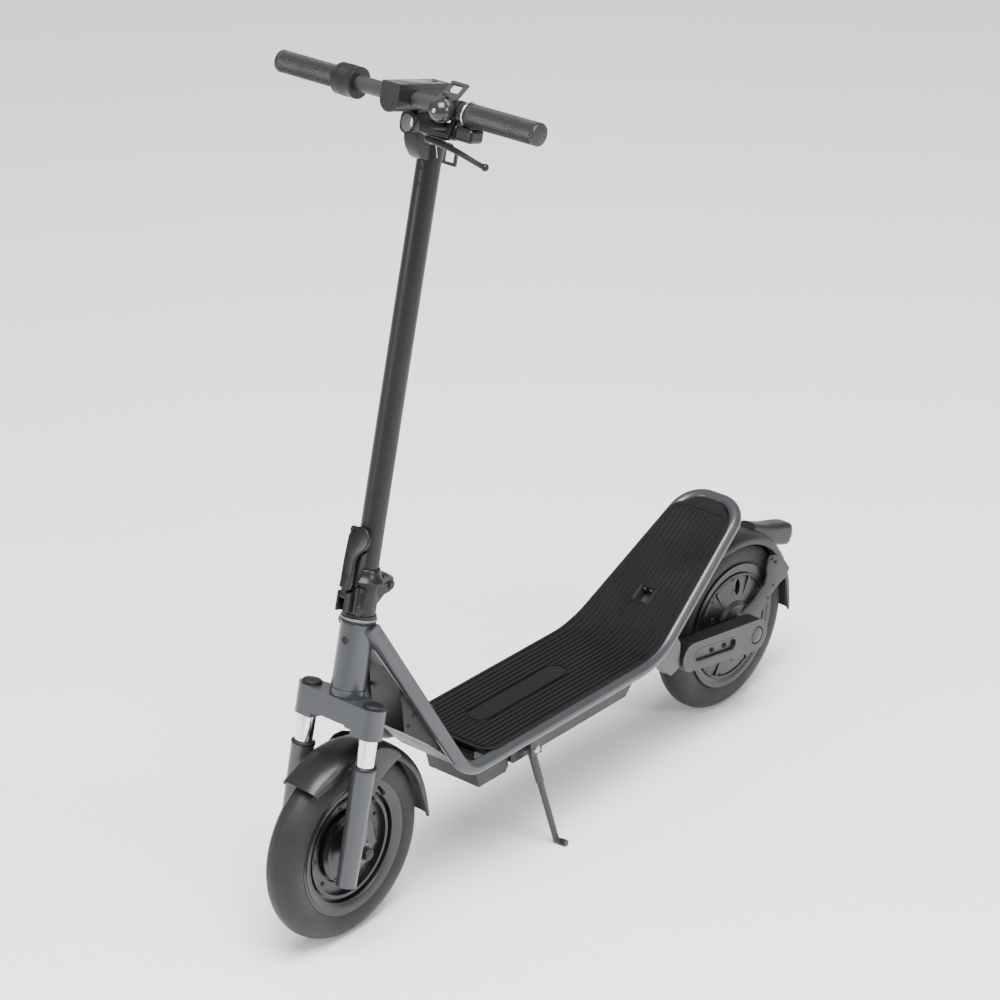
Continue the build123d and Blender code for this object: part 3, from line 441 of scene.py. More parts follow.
def lathe(name: str, profile: Profile, place: Matrix, finish: Finish, body: str, segments: int = 64,
          hexes: Iterable[int] = (), closed: bool = False,
          shape: Callable[[int, float], tuple[float, float]] | None = None) -> bpy.types.Object:
    """Turn an outline about the place's Z axis.

    Args:
        name: the piece's name.
        profile: outline points as radius and height, in millimetres.
        place: where the turning axis is.
        finish: its finish.
        body: the body that carries it.
        segments: steps round the axis.
        hexes: indices of outline points that follow a hexagon instead of a circle.
        closed: whether the outline's last point joins its first.
        shape: extra radius and height, in millimetres, at an outline point and an angle.

    Returns:
        The piece.
    """
    build = bmesh.new()
    six = set(hexes)
    rings = []
    for index, (radius, height) in enumerate(profile):
        if radius < 1e-6:
            rings.append([build.verts.new((0, 0, height * MM))])
            continue
        ring = []
        for step in range(segments):
            angle = math.tau * step / segments
            reach = radius
            if index in six:
                reach = radius / math.cos((angle + math.pi / 6) % (math.pi / 3) - math.pi / 6)
            extra = shape(index, angle) if shape else (0.0, 0.0)
            reach += extra[0]
            ring.append(build.verts.new((math.cos(angle) * reach * MM, math.sin(angle) * reach * MM,
                                         (height + extra[1]) * MM)))
        rings.append(ring)
    pairs = list(zip(rings, rings[1:])) + ([(rings[-1], rings[0])] if closed else [])
    for first, second in pairs:
        for step in range(segments):
            following = (step + 1) % segments
            corners = [first[step % len(first)], first[following % len(first)],
                       second[following % len(second)], second[step % len(second)]]
            unique = list(dict.fromkeys(corners))
            if len(unique) > 2:
                build.faces.new(unique)
    return keep_mesh(name, build, place, finish, body)


def slab(name: str, outline: Sequence[tuple[float, float]], thickness: float, place: Matrix, finish: Finish,
         body: str, rounding: float = 0.6) -> bpy.types.Object:
    """A flat piece from an outline, its top edges rounded over.

    Args:
        name: the piece's name.
        outline: corner points, in millimetres.
        thickness: height above the place's plane, in millimetres.
        place: where the outline lies.
        finish: its finish.
        body: the body that carries it.
        rounding: radius of the rounded edges, in millimetres.

    Returns:
        The piece.
    """
    build = bmesh.new()
    face = build.faces.new([build.verts.new((x * MM, y * MM, 0)) for x, y in outline])
    raised = bmesh.ops.extrude_face_region(build, geom=[face])
    top = [item for item in raised["geom"] if isinstance(item, bmesh.types.BMVert)]
    bmesh.ops.translate(build, verts=top, vec=(0, 0, thickness * MM))
    if rounding:
        rim = [edge for edge in build.edges if all(vert in top for vert in edge.verts)]
        bmesh.ops.bevel(build, geom=rim, offset=rounding * MM, segments=3, affect="EDGES", profile=0.5)
    return keep_mesh(name, build, place, finish, body)


@dataclass(frozen=True)
class Section:
    """One rounded cross-section of a lofted piece.

    Attributes:
        middle: its middle, in metres.
        way: direction that the loft runs there.
        side: half of its width, in millimetres.
        height: half of its height, in millimetres.
        power: 2 is an ellipse; more is squarer.
    """

    middle: Vector
    way: Vector
    side: float
    height: float
    power: float = 2.6

    def ring(self, across: Vector, steps: int) -> list[Vector]:
        """Points round the section.

        Args:
            across: direction of its width.
            steps: number of points.

        Returns:
            The points.
        """
        up = self.way.cross(across).normalized()
        points = []
        for step in range(steps):
            angle = math.tau * step / steps
            c, s = math.cos(angle), math.sin(angle)
            x = math.copysign(abs(c) ** (2 / self.power), c) * self.side * MM
            y = math.copysign(abs(s) ** (2 / self.power), s) * self.height * MM
            points.append(self.middle + across * x + up * y)
        return points


def smooth_path(values: Sequence[Sequence[float]], steps: int) -> list[list[float]]:
    """Run a smooth line through rows of numbers.

    Args:
        values: the rows to pass through.
        steps: steps between two rows.

    Returns:
        The rows along the line.
    """
    rows = []
    last = len(values) - 1
    for index in range(last):
        before, start = values[max(index - 1, 0)], values[index]
        end, after = values[index + 1], values[min(index + 2, last)]
        for step in range(steps):
            t = step / steps
            rows.append([0.5 * (2 * b + (c - a) * t + (2 * a - 5 * b + 4 * c - d) * t * t
                                + (3 * b - a - 3 * c + d) * t ** 3)
                         for a, b, c, d in zip(before, start, end, after)])
    rows.append(list(values[-1]))
    return rows


def loft(name: str, sections: Sequence[Section], across: Vector, finish: Finish, body: str,
         steps: int = 48) -> bpy.types.Object:
    """Skin over a row of sections, closed at both ends.

    Args:
        name: the piece's name.
        sections: its cross-sections in order.
        across: direction of their width.
        finish: its finish.
        body: the body that carries it.
        steps: points round each section.

    Returns:
        The piece.
    """
    build = bmesh.new()
    rings = [[build.verts.new(point) for point in section.ring(across, steps)] for section in sections]
    bridge(build, rings)
    build.faces.new(rings[0])
    build.faces.new(rings[-1])
    return keep_mesh(name, build, Matrix.Identity(4), finish, body)


def bridge(build: bmesh.types.BMesh, loops: Sequence[Sequence[bmesh.types.BMVert]]) -> None:
    """Join closed rows of corners with faces, each row to the next.

    Args:
        build: the mesh that they are in.
        loops: rows with the same number of corners.
    """
    for first, second in zip(loops, loops[1:]):
        for step in range(len(first)):
            following = (step + 1) % len(first)
            build.faces.new((first[step], first[following], second[following], second[step]))


def swept_sections(rows: Sequence[Sequence[float]], place: Callable[[float, float, float], Vector],
                   steps: int) -> list[Section]:
    """Sections along a smooth line.

    Args:
        rows: forward, side, height, half width, half height and power at each station.
        place: turns the first three of them into a point, in metres.
        steps: steps between two stations.

    Returns:
        The sections, each facing along the line.
    """
    line = smooth_path(rows, steps)
    middles = [place(*row[:3]) for row in line]
    last = len(line) - 1
    sections = []
    for index, row in enumerate(line):
        way = (middles[min(index + 1, last)] - middles[max(index - 1, 0)]).normalized()
        sections.append(Section(middles[index], way, *row[3:6]))
    return sections


def stadium(length: float, width: float, steps: int = 10) -> list[tuple[float, float]]:
    """Outline of a slot with round ends.

    Args:
        length: overall length.
        width: overall width.
        steps: steps round each end.

    Returns:
        The outline's points.
    """
    radius, reach = width / 2, (length - width) / 2
    points = []
    for middle, start in ((reach, -math.pi / 2), (-reach, math.pi / 2)):
        for step in range(steps + 1):
            angle = start + math.pi * step / steps
            points.append((middle + radius * math.cos(angle), radius * math.sin(angle)))
    return points


def guard_skin(name: str, hub: Vector, section: Callable[[float], Profile], span: tuple[float, float],
               finish: Finish, body: str, steps: int = 72) -> bpy.types.Object:
    """Run a section round an axle, as a mudguard has it.

    Args:
        name: the piece's name.
        hub: middle of the axle, in metres.
        section: gives the closed outline, as radius and side in millimetres, for a part of the way.
        span: first and last angle, in degrees up from straight ahead.
        finish: its finish.
        body: the body that carries it.
        steps: steps along the guard.

    Returns:
        The piece.
    """
    build = bmesh.new()
    loops = []
    for step in range(steps + 1):
        part = step / steps
        angle = math.radians(span[0] + (span[1] - span[0]) * part)
        out = Vector((math.cos(angle), 0, math.sin(angle)))
        loops.append([build.verts.new(hub + out * (radius * MM) + Vector((0, side * MM, 0)))
                      for radius, side in section(part)])
    bridge(build, loops)
    build.faces.new(loops[0])
    build.faces.new(loops[-1])
    return keep_mesh(name, build, Matrix.Identity(4), finish, body)


def crowned_section(radius: float, side: float, depth: float, crown: float, wall: float = 2.4,
                    steps: int = 18) -> list[tuple[float, float]]:
    """Closed outline of a mudguard with a rounded back and rolled edges.

    Args:
        radius: radius at its middle.
        side: half of its width.
        depth: how far its edges reach down from the middle.
        crown: power of its rounding; more is flatter.
        wall: its thickness.
        steps: points across half of it.

    Returns:
        Outline points as radius and side.
    """
    outer = []
    for step in range(-steps, steps + 1):
        across = math.sin(math.pi / 2 * step / steps)
        outer.append((radius - depth * (1 - (1 - abs(across) ** crown) ** (1 / crown)), side * across))
    inner = [(reach - wall * (1 - 0.55 * abs(place / side) ** 6), place * (side - wall) / side)
             for reach, place in reversed(outer)]
    return outer + inner


@dataclass(frozen=True)
class Bolt:
    """A socket-head bolt with a washer face.

    Attributes:
        radius: the head's radius, in millimetres.
        height: the head's height, in millimetres.
        finish: its finish.
    """

    radius: float = 3.2
    height: float = 2.4
    finish: Finish = ANODISED

    def fit(self, name: str, at: Vector, way: Vector, body: str) -> bpy.types.Object:
        """Fit the bolt on a surface.

        Args:
            name: the piece's name.
            at: middle of its seat.
            way: direction that its head points.
            body: the body that carries it.

        Returns:
            The piece.
        """
        r, h = self.radius, self.height
        socket = r * 0.5
        profile = [(0, h * 0.3), (socket, h * 0.3), (socket, h - 0.1), (socket + 0.15, h), (r * 0.84, h),
                   (r * 0.95, h - 0.15), (r, h * 0.75), (r, 0.3), (r * 1.18, 0.3), (r * 1.18, -0.3),
                   (0, -0.3)]
        return lathe(name, profile, facing(at, way), self.finish, body, 36, hexes=(1, 2, 3))


@dataclass(frozen=True)
class Recess:
    """A round hole drawn as a raised lip round a dark floor; the floor's dark colour is painted shade
    standing in for the hole's depth.

    Attributes:
        radius: the hole's radius, in millimetres.
        lip: the lip's width, in millimetres.
        finish: the lip's finish.
    """

    radius: float = 3.0
    lip: float = 0.5
    finish: Finish = ANODISED

    def fit(self, name: str, at: Vector, way: Vector, body: str) -> None:
        """Fit the lip and the floor, dark with painted shade, on a surface.

        Args:
            name: the pieces' name.
            at: middle of the hole.
            way: direction that it faces.
            body: the body that carries it.
        """
        r = self.radius
        place = facing(at, way)
        lathe(name + "_lip", [(r, -1.2), (r, 0.05), (r + self.lip * 0.4, self.lip * 0.45),
                              (r + self.lip, 0.05),
                              (r + self.lip, -1.2)], place, self.finish, body, 40, closed=True)
        # Dark floor: painted shade in place of the hole's depth.
        lathe(name + "_floor", [(0, 0.06), (r * 0.8, 0.05), (r + 0.1, 0.02), (r + 0.1, -0.8), (0, -0.8)],
              place, HOLE_SHADE_AND_SEAMS, body, 40)


# ---------------------------------------------------------------- the scooter
@dataclass
class Wheels:
    """Tyres, valves and hub trims of both wheels.

    Attributes:
        layout: main places of the scooter.
        radius: the tyre's outer radius, in millimetres.
        half_width: half of the tyre's width.
        bead: radius where the tyre sits on the rim.
        tube: radius of the tyre's round section.
        profile_steps: steps round the tyre's section.
        segments: steps round the wheel.
    """

    layout: Layout
    radius: float = 145.0
    half_width: float = 26.0
    bead: float = 103.8
    tube: float = 28.0
    profile_steps: int = 56
    segments: int = 220

    def _tyre_profile(self) -> list[tuple[float, float]]:
        """Outline of the tyre's section.

        Returns:
            Outline points as radius and side, in millimetres.
        """
        middle = self.radius - self.tube
        points = []
        for step in range(self.profile_steps + 1):
            angle = -math.radians(118) + math.radians(236) * step / self.profile_steps
            round_out = math.cos(angle)
            reach = self.tube * (abs(round_out) ** 0.92) * (1 if round_out > 0 else -1)
            side = self.half_width * math.sin(angle)
            ridge = 0.5 if 57 < abs(math.degrees(angle)) < 61 else 0.0
            groove = -0.7 if abs(abs(math.degrees(angle)) - 21) < 2.2 else 0.0
            swell = ridge + groove
            points.append((middle + reach + swell * math.cos(angle), side + swell * 0.6 * math.sin(angle)))
        points += [(self.bead + 0.2, 21.5), (self.bead - 1.2, 20), (self.bead - 1.2, -20),
                   (self.bead + 0.2, -21.5)]
        return points

    def tyre(self, name: str, x: float, body: str, node: str) -> None:
        """Build one tyre.

        Args:
            name: the piece's name.
            x: the axle's place.
            body: the body that carries it.
            node: the frame's tyre that it stands for.
        """
        place = facing(Vector((x, 0, self.layout.axle_z)), LEFT)
        piece = lathe(name, self._tyre_profile(), place, TYRE_RUBBER, body, self.segments, closed=True)
        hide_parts(node)

    def valve(self, name: str, x: float, body: str, side: int) -> None:
        """Build a tyre valve with its ribbed cap.

        Args:
            name: the piece's name.
            x: the axle's place.
            body: the body that carries it.
            side: 1 on the left of the rim, -1 on the right.
        """
        angle = math.radians(128)
        out = Vector((math.cos(angle), 0, math.sin(angle)))
        at = Vector((x, side * 20.0 * MM, self.layout.axle_z)) + out * (94 * MM)
        way = (Vector((0, side, 0)) * 0.92 - out * 0.4).normalized()
        profile = [(0, 18), (2.2, 18), (3.0, 17), (3.0, 9), (2.4, 8.4), (2.4, 4), (3.6, 2), (4.2, 0), (0, 0)]
        lathe(name, profile, facing(at, way), SMOOTH_RUBBER, body, 24)

    def front_hub(self) -> None:
        """Stepped trims, rim rings and screws of the front hub."""
        x, z = self.layout.front_x, self.layout.axle_z
        left = facing(Vector((x, 0, z)), LEFT)
        lathe("front_rim_ring", [(86.5, 19.4), (88, 20.6), (97, 24.2), (99, 24.3), (99, 23.3), (88, 19.2)],
              left, CAST_BLACK, "front_wheel", 160, closed=True)
        for step in range(9):
            angle = math.tau * step / 9
            at = Vector((x + math.cos(angle) * 66 * MM, 9 * MM, z + math.sin(angle) * 66 * MM))
            Bolt(3.0, 2.2, CAST_BLACK).fit(f"front_rotor_bolt_{step}", at, LEFT, "front_wheel")
        right = facing(Vector((x, 0, z)), Vector((0, -1, 0)))
        lathe("front_hub_cap", [(0, 20), (10, 20), (15, 19), (26, 17), (28, 15.4), (28, 14.6), (0, 14.6)],
              right, CAST_BLACK, "front_wheel", 72)
        lathe("brake_drum_step", [(22, 19), (23, 21.5), (40, 21), (42, 19.6), (47.4, 19), (47.4, 18.6),
                                  (22, 18.6)],
              left, CAST_BLACK, "fork_lowers", 96, closed=True)
        for step in range(4):
            angle = math.radians(40 + 90 * step)
            at = Vector((x + math.cos(angle) * 51 * MM, 17.3 * MM, z + math.sin(angle) * 51 * MM))
            Bolt(2.2, 1.6, CAST_BLACK).fit(f"brake_plate_bolt_{step}", at, LEFT, "fork_lowers")

    def motor(self) -> None:
        """Screws, boss and raised rings on the motor's side covers."""
        x, z = self.layout.rear_x, self.layout.axle_z
        for side, word in SIDES:
            place = facing(Vector((x, 0, z)), Vector((0, side, 0)))
            lathe(f"motor_ring_{word}", [(84, 25.4), (84.8, 26.8), (87.6, 26.4), (88.2, 25), (87, 24),
                                         (84, 24.4)],
                  place, CAST_BLACK, "rear_wheel", 160, closed=True)
            lathe(f"motor_boss_{word}", [(13.4, 33), (14, 36), (22, 36), (24, 34.6), (33, 33.2), (34, 32.6),
                                         (13.4, 32.6)],
                  place, CAST_BLACK, "rear_wheel", 96, closed=True)
            for step in range(9):
                angle = math.radians(10 + 40 * step)
                at = Vector((x + math.cos(angle) * 82 * MM, side * 25.6 * MM, z + math.sin(angle) * 82 * MM))
                Bolt(2.2, 1.3, ANODISED).fit(f"motor_screw_{word}_{step}", at, Vector((0, side, 0)),
                                             "rear_wheel")
            # Holes whose dark floors are painted shade.
            for step in range(6):
                angle = math.radians(30 + 60 * step)
                at = Vector((x + math.cos(angle) * 60 * MM, side * 27.4 * MM, z + math.sin(angle) * 60 * MM))
                Recess(3.4, 1.6, CAST_BLACK).fit(f"motor_hole_{word}_{step}", at, Vector((0, side, 0)),
                                                 "rear_wheel")

    def build(self) -> None:
        """Build everything that belongs to the wheels."""
        self.tyre("front_tyre_skin", self.layout.front_x, "front_wheel", "front_tyre")
        self.tyre("rear_tyre_skin", self.layout.rear_x, "rear_wheel", "rear_tyre")
        self.valve("front_valve", self.layout.front_x, "front_wheel", 1)
        self.valve("rear_valve", self.layout.rear_x, "rear_wheel", -1)
        self.front_hub()
        self.motor()


@dataclass
class Fork:
    """Seals, caps and bolts of the sprung fork and its fender.

    Attributes:
        layout: main places of the scooter.
        leg_forward: how far the legs stand in front of the steering axis, in millimetres.
        leg_side: how far each leg stands to its side.
        leg_top: height of the lower legs along the steering axis.
        crown_top: height of the crown's top along the steering axis.
    """

    layout: Layout
    leg_forward: float = 8.9
    leg_side: float = 58.7
    leg_top: float = 301.7
    crown_top: float = 391.0

    def seals(self) -> None:
        """Wiper seals on top of the lower legs."""
        for side, word in SIDES:
            place = facing(self.layout.head(self.leg_forward, side * self.leg_side, self.leg_top),
                           self.layout.head_way(0, 0, 1))
            profile = [(13.7, 0), (13.7, 2.4), (14.6, 3.0), (16.6, 2.4), (17.6, 1.4), (17.8, 0.6),
                       (17.8, -1.6), (17.3, -2.0), (17.1, 0)]
            lathe(f"fork_seal_{word}", profile, place, SMOOTH_RUBBER, "fork_lowers", 64, closed=True)

    def caps(self) -> None:
        """Preload caps on top of the crown."""
        for side, word in SIDES:
            place = facing(self.layout.head(self.leg_forward, side * self.leg_side, self.crown_top + 3.6),
                           self.layout.head_way(0, 0, 1))
            profile = [(0, 1.7), (12.0, 1.7), (13.8, 0.9), (14.6, -0.6), (14.6, -3.4), (0, -3.4)]
            lathe(f"crown_cap_{word}", profile, place, SMOOTH_RUBBER, "steering", 64)

    def bolts(self) -> None:
        """Pinch bolts behind the crown and foot bolts under the legs."""
        back = self.layout.head_way(-1, 0, 0)
        for side, word in SIDES:
            at = self.layout.head(self.leg_forward - 19, side * self.leg_side, self.crown_top - 22)
            Bolt(3.4, 3.0, STEEL).fit(f"crown_pinch_{word}", at, back, "steering")
            foot = self.layout.head(self.leg_forward, side * self.leg_side, 123.7)
            Bolt(6.0, 2.6, STEEL).fit(f"leg_foot_bolt_{word}", foot, self.layout.head_way(0, 0, -1),
                                      "fork_lowers")

    def axle_nuts(self) -> None:
        """Axle nuts outside the dropouts."""
        for side, word in SIDES:
            place = facing(Vector((self.layout.front_x, side * 48.2 * MM, self.layout.axle_z)),
                           Vector((0, side, 0)))
            profile = [(0, 7.2), (4.6, 7.2), (5, 6.6), (7.6, 6.4), (8.2, 5.6), (8.2, 1.4), (11, 1.2),
                       (11, 0), (0, 0)]
            lathe(f"front_axle_nut_{word}", profile, place, ANODISED, "fork_lowers", 48, hexes=(3, 4, 5))

    def fender(self) -> None:
        """Front mudguard: rounded back, pointed front tip, flared tail and a tapered arm each side."""
        hub = Vector((self.layout.front_x, 0, self.layout.axle_z))

        def section(part: float) -> list[tuple[float, float]]:
            """Outline of the guard, narrower in the middle of its sides.

            Args:
                part: how far along the guard, from 0 to 1.

            Returns:
                Outline points as radius and side.
            """
            tip = max(0.0, 1 - part / 0.10)
            tail = max(0.0, (part - 0.86) / 0.14)
            depth = 20 - 8 * tip ** 1.5 - 9 * tail ** 1.5 - 2 * math.sin(math.pi * part)
            return crowned_section(157.8, 35.6 - 3.2 * tip, depth, 2.7)

        guard = guard_skin("front_fender_skin", hub, section, (56, 184), PLASTIC, "fork_lowers", 96)
        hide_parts("front_fender")
        for side, word in SIDES:
            outline = [(-90, 262), (-82, 274), (-62, 288), (-46, 295), (-30, 296), (-18, 290), (-9, 276),
                       (-4, 256),
                       (-1, 232), (2, 208), (1.5, 199), (-3, 193), (-9, 191), (-15, 194), (-19, 201),
                       (-25, 214), (-33, 230), (-45, 244), (-64, 254)]
            place = facing(hub + Vector((0, side * 34.9 * MM, 0)), Vector((0, side, 0)), Vector((0, 0, 1)))
            points = [(-side * x, z - AXLE_HEIGHT) for x, z in outline]
            slab(f"front_fender_arm_{word}", points, 4.1, place, PLASTIC, "fork_lowers", 1.3)

    def fender_trim(self) -> None:
        """Bracket bolts, and a dark oval of painted shade, on the front fender's sides."""
        x = self.layout.front_x
        for side, word in SIDES:
            way = Vector((0, side, 0))
            for number, (forward, height) in enumerate(((-26.8, 219.3), (-13, 200.0))):
                at = Vector((x + forward * MM, side * 39 * MM, height * MM))
                Bolt(3.4, 2.2).fit(f"front_fender_bolt_{word}_{number}", at, way, "fork_lowers")
            # The dark oval is a thin sheet of painted shade standing in for a slot.
            oval = facing(Vector((x - 30 * MM, side * 39.02 * MM, 272 * MM)), way)
            slab(f"front_fender_oval_{word}", stadium(19, 8), 0.35,
                 oval @ Matrix.Rotation(-1.1 * side, 4, "Z"), HOLE_SHADE_AND_SEAMS, "fork_lowers", 0.1)

    def build(self) -> None:
        """Build everything that belongs to the fork."""
        self.seals()
        self.caps()
        self.bolts()
        self.axle_nuts()
        self.fender()
        self.fender_trim()


@dataclass
class FoldingJoint:
    """Cap, plates, lever, bolts and rings of the head tube, folding joint and stem.

    Attributes:
        layout: main places of the scooter.
        plate_reach: radius of the side plates' outer face, in millimetres.
        plate_turn: degrees from straight ahead to each side plate.
        head_radius: the head tube's radius.
        stem_radius: the stem's radius.
    """

    layout: Layout
    plate_reach: float = 26.0
    plate_turn: float = 34.0
    head_radius: float = 24.7
    stem_radius: float = 17.3

    def _on_tube(self, radius: float, turn: float, height: float) -> tuple[Vector, Vector]:
        """A point on a tube round the steering axis.

        Args:
            radius: the tube's radius.
            turn: degrees to the left of straight ahead.
            height: height along the steering axis.

        Returns:
            The point and the direction that the surface faces there.
        """
        angle = math.radians(turn)
        at = self.layout.head(radius * math.cos(angle), radius * math.sin(angle), height)
        return at, self.layout.head_way(math.cos(angle), math.sin(angle), 0)

    def head_tube(self) -> None:
        """Cable hole, end rings and lower sleeve of the head tube."""
        # The cable hole's dark floor is painted shade.
        at, way = self._on_tube(self.head_radius, 3, 475)
        Recess(5.6, 0.8, FRAME_PAINT).fit("head_hole", at, way, "chassis")
        radius = 24.9
        for name, height in (("head_ring_top", 498.6), ("head_ring_bottom", 404.4)):
            ring = facing(self.layout.head(0, 0, height), self.layout.head_way(0, 0, 1))
            lathe(name, [(radius - 0.6, -0.9), (radius + 0.25, -0.6), (radius + 0.25, 0.6),
                         (radius - 0.6, 0.9)], ring,
                  FRAME_PAINT, "chassis", 96, closed=True)
        sleeve = facing(self.layout.head(0, 0, 391.2), self.layout.head_way(0, 0, 1))
        lathe("head_sleeve", [(24.82, 0), (25.3, 0.4), (25.3, 10.4), (24.82, 10.9)], sleeve, FRAME_PAINT,
              "steering", 96, closed=True)

    def collar(self) -> None:
        """Grey ring and dark seal under the folding joint."""
        up = self.layout.head_way(0, 0, 1)
        for name, height, reach, finish in (("fold_ring", 506.6, 26.4, GREY_ALLOY),
                                            ("fold_seal", 502.2, 25.5, SMOOTH_RUBBER)):
            ring = facing(self.layout.head(0, 0, height), up)
            lathe(name, [(22.6, -1.9), (reach - 0.5, -1.8), (reach, -1.1), (reach, 1.1), (reach - 0.5, 1.8),
                         (22.6, 1.9)],
                  ring, finish, "steering", 96, closed=True)

    def hardware(self) -> None:
        """Bolts and round marks on the joint's left front."""
        marks = (("fold_dot_top", 550, 3.0), ("fold_dot_high", 541, 1.9), ("fold_dot_low", 533.5, 1.9))
        # The round marks are drawn as holes whose dark floors are painted shade.
        for name, height, radius in marks:
            at, way = self._on_tube(self.plate_reach, self.plate_turn, height)
            Recess(radius, 0.5).fit(name, at, way, "steering")
        at, way = self._on_tube(self.plate_reach, self.plate_turn, 522.5)
        lathe("fold_disc", [(0, 0.5), (3.2, 0.5), (3.6, 1.1), (5.6, 1.0), (6.2, 0.3), (6.2, -1.5), (0, -1.5)],
              facing(at, way), GLOSS_BLACK, "steering", 48, hexes=(1, 2))
        for side, word in SIDES:
            pin = self.layout.head(-42, side * 16, 552)
            lathe(f"fold_pin_head_{word}", [(0, 1.2), (2, 1.2), (4.6, 0.9), (5.2, 0.2), (5.2, 0), (0, 0)],
                  facing(pin, Vector((0, side, 0))), ANODISED, "steering", 36, hexes=(1,))

    def cap(self) -> None:
        """Bell-shaped cap of the upper half, a ridge round it and a short nose at the back."""
        up = self.layout.head_way(0, 0, 1)
        place = facing(self.layout.head(0, 0, 556.4), up, self.layout.head_way(1, 0, 0))
        profile = [(18, 24), (19.4, 24), (20.4, 22.6), (21.2, 19), (22.6, 14.5), (25.0, 10.4), (27.4, 8.0),
                   (28.4, 6.4), (28.4, 4.4), (27.2, 2.8), (26.4, 2.2), (26.4, 0.6), (25.6, 0), (18, 0)]
        lathe("fold_cap", profile, place, ANODISED, "stem", 120, closed=True)
        rows = [(-20, 0, 565, 17, 8.0, 3.2), (-30, 0, 563, 16, 8.2, 3.2), (-42, 0, 559.5, 13.6, 7.2, 3.0),
                (-51, 0, 556.6, 10.2, 6.0, 3.0), (-53, 0, 556, 8.8, 5.0, 3.0)]
        loft("fold_nose", swept_sections(rows, self.layout.head, 8), LEFT, ANODISED, "stem", 48)

    def plates(self) -> None:
        """A rounded plate on each side of the joint's front."""
        for name, turn in (("side_plate", self.plate_turn), ("far_plate", -self.plate_turn)):
            angle = math.radians(turn)
            at = self.layout.head(22.4 * math.cos(angle), 22.4 * math.sin(angle), 534)
            way = self.layout.head_way(math.cos(angle), math.sin(angle), 0)
            place = facing(at, way, self.layout.head_way(0, 0, 1))
            outline = [(y, x) for x, y in stadium(42, 17, 12)]
            slab(f"fold_{name}", outline, 3.6, place, ANODISED, "steering", 1.4)

    def lever_blade(self) -> None:
        """Folding lever: a round head on a blade set to one side, with a thick foot and a catch lug."""
        way = self.layout.head_way(0.975, 0, 0.222)
        place = facing(self.layout.head(22.2, 0, 622), way, self.layout.head_way(-0.222, 0, 0.975))
        turns = [math.radians(-42 + 6 * k) for k in range(38)]
        head = [(18.5 * math.cos(a), 18.5 * math.sin(a)) for a in turns]
        left = [(-17.0, -14), (-14.6, -34), (-11.4, -54), (-9.4, -64), (-7.6, -69), (-3, -71)]
        right = [(3, -71), (7.6, -69), (8.6, -64), (7.2, -50), (5.2, -38), (4.4, -30), (5.2, -24),
                 (8.4, -18.6)]
        piece = slab("lever_skin", head + left + right, 5.6, place, ANODISED, "lever", 1.5)
        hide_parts("fold_lever")
        lathe("lever_lug", [(2.9, 0), (5.6, 0), (5.6, 4.8), (5.0, 5.5), (3.4, 5.5), (2.9, 5.0)],
              place @ Matrix.Translation((-13.5 * MM, 11 * MM, 0)), ANODISED, "lever", 40, closed=True)
        foot = [(-8.4, -71), (8.4, -71), (8.8, -62), (7.6, -52), (-9.6, -52), (-9.2, -62)]
        slab("lever_foot", foot, 7.4, place @ Matrix.Translation((0, 0, -0.6 * MM)), ANODISED, "lever", 2.0)
        at = self.layout.head(39, -4.7, 543)
        lathe("lever_barrel", [(2.6, 0), (5, 0), (5, 9.4), (2.6, 9.4)], facing(at, LEFT), ANODISED, "lever",
              36, closed=True)
        post = facing(self.layout.head(0, -4.7, 0), LEFT, self.layout.head_way(0, 0, 1))
        slab("lever_post", [(-forward, height) for forward,
                            height in ((36, 545), (42.6, 545), (42.4, 562), (36, 562))],
             9.4, post, ANODISED, "lever", 0.6)

    def stem(self) -> None:
        """Two screws on the stem under its head."""
        for name, turn, height in (("stem_screw_high", 3, 1150), ("stem_screw_low", 5, 1128)):
            at, way = self._on_tube(self.stem_radius, turn, height)
            Bolt(2.6, 1.2).fit(name, at - way * 0.3 * MM, way, "stem")

    def build(self) -> None:
        """Build everything that belongs to the folding joint."""
        self.head_tube()
        self.collar()
        self.cap()
        self.plates()
        self.hardware()
        self.lever_blade()
        self.stem()


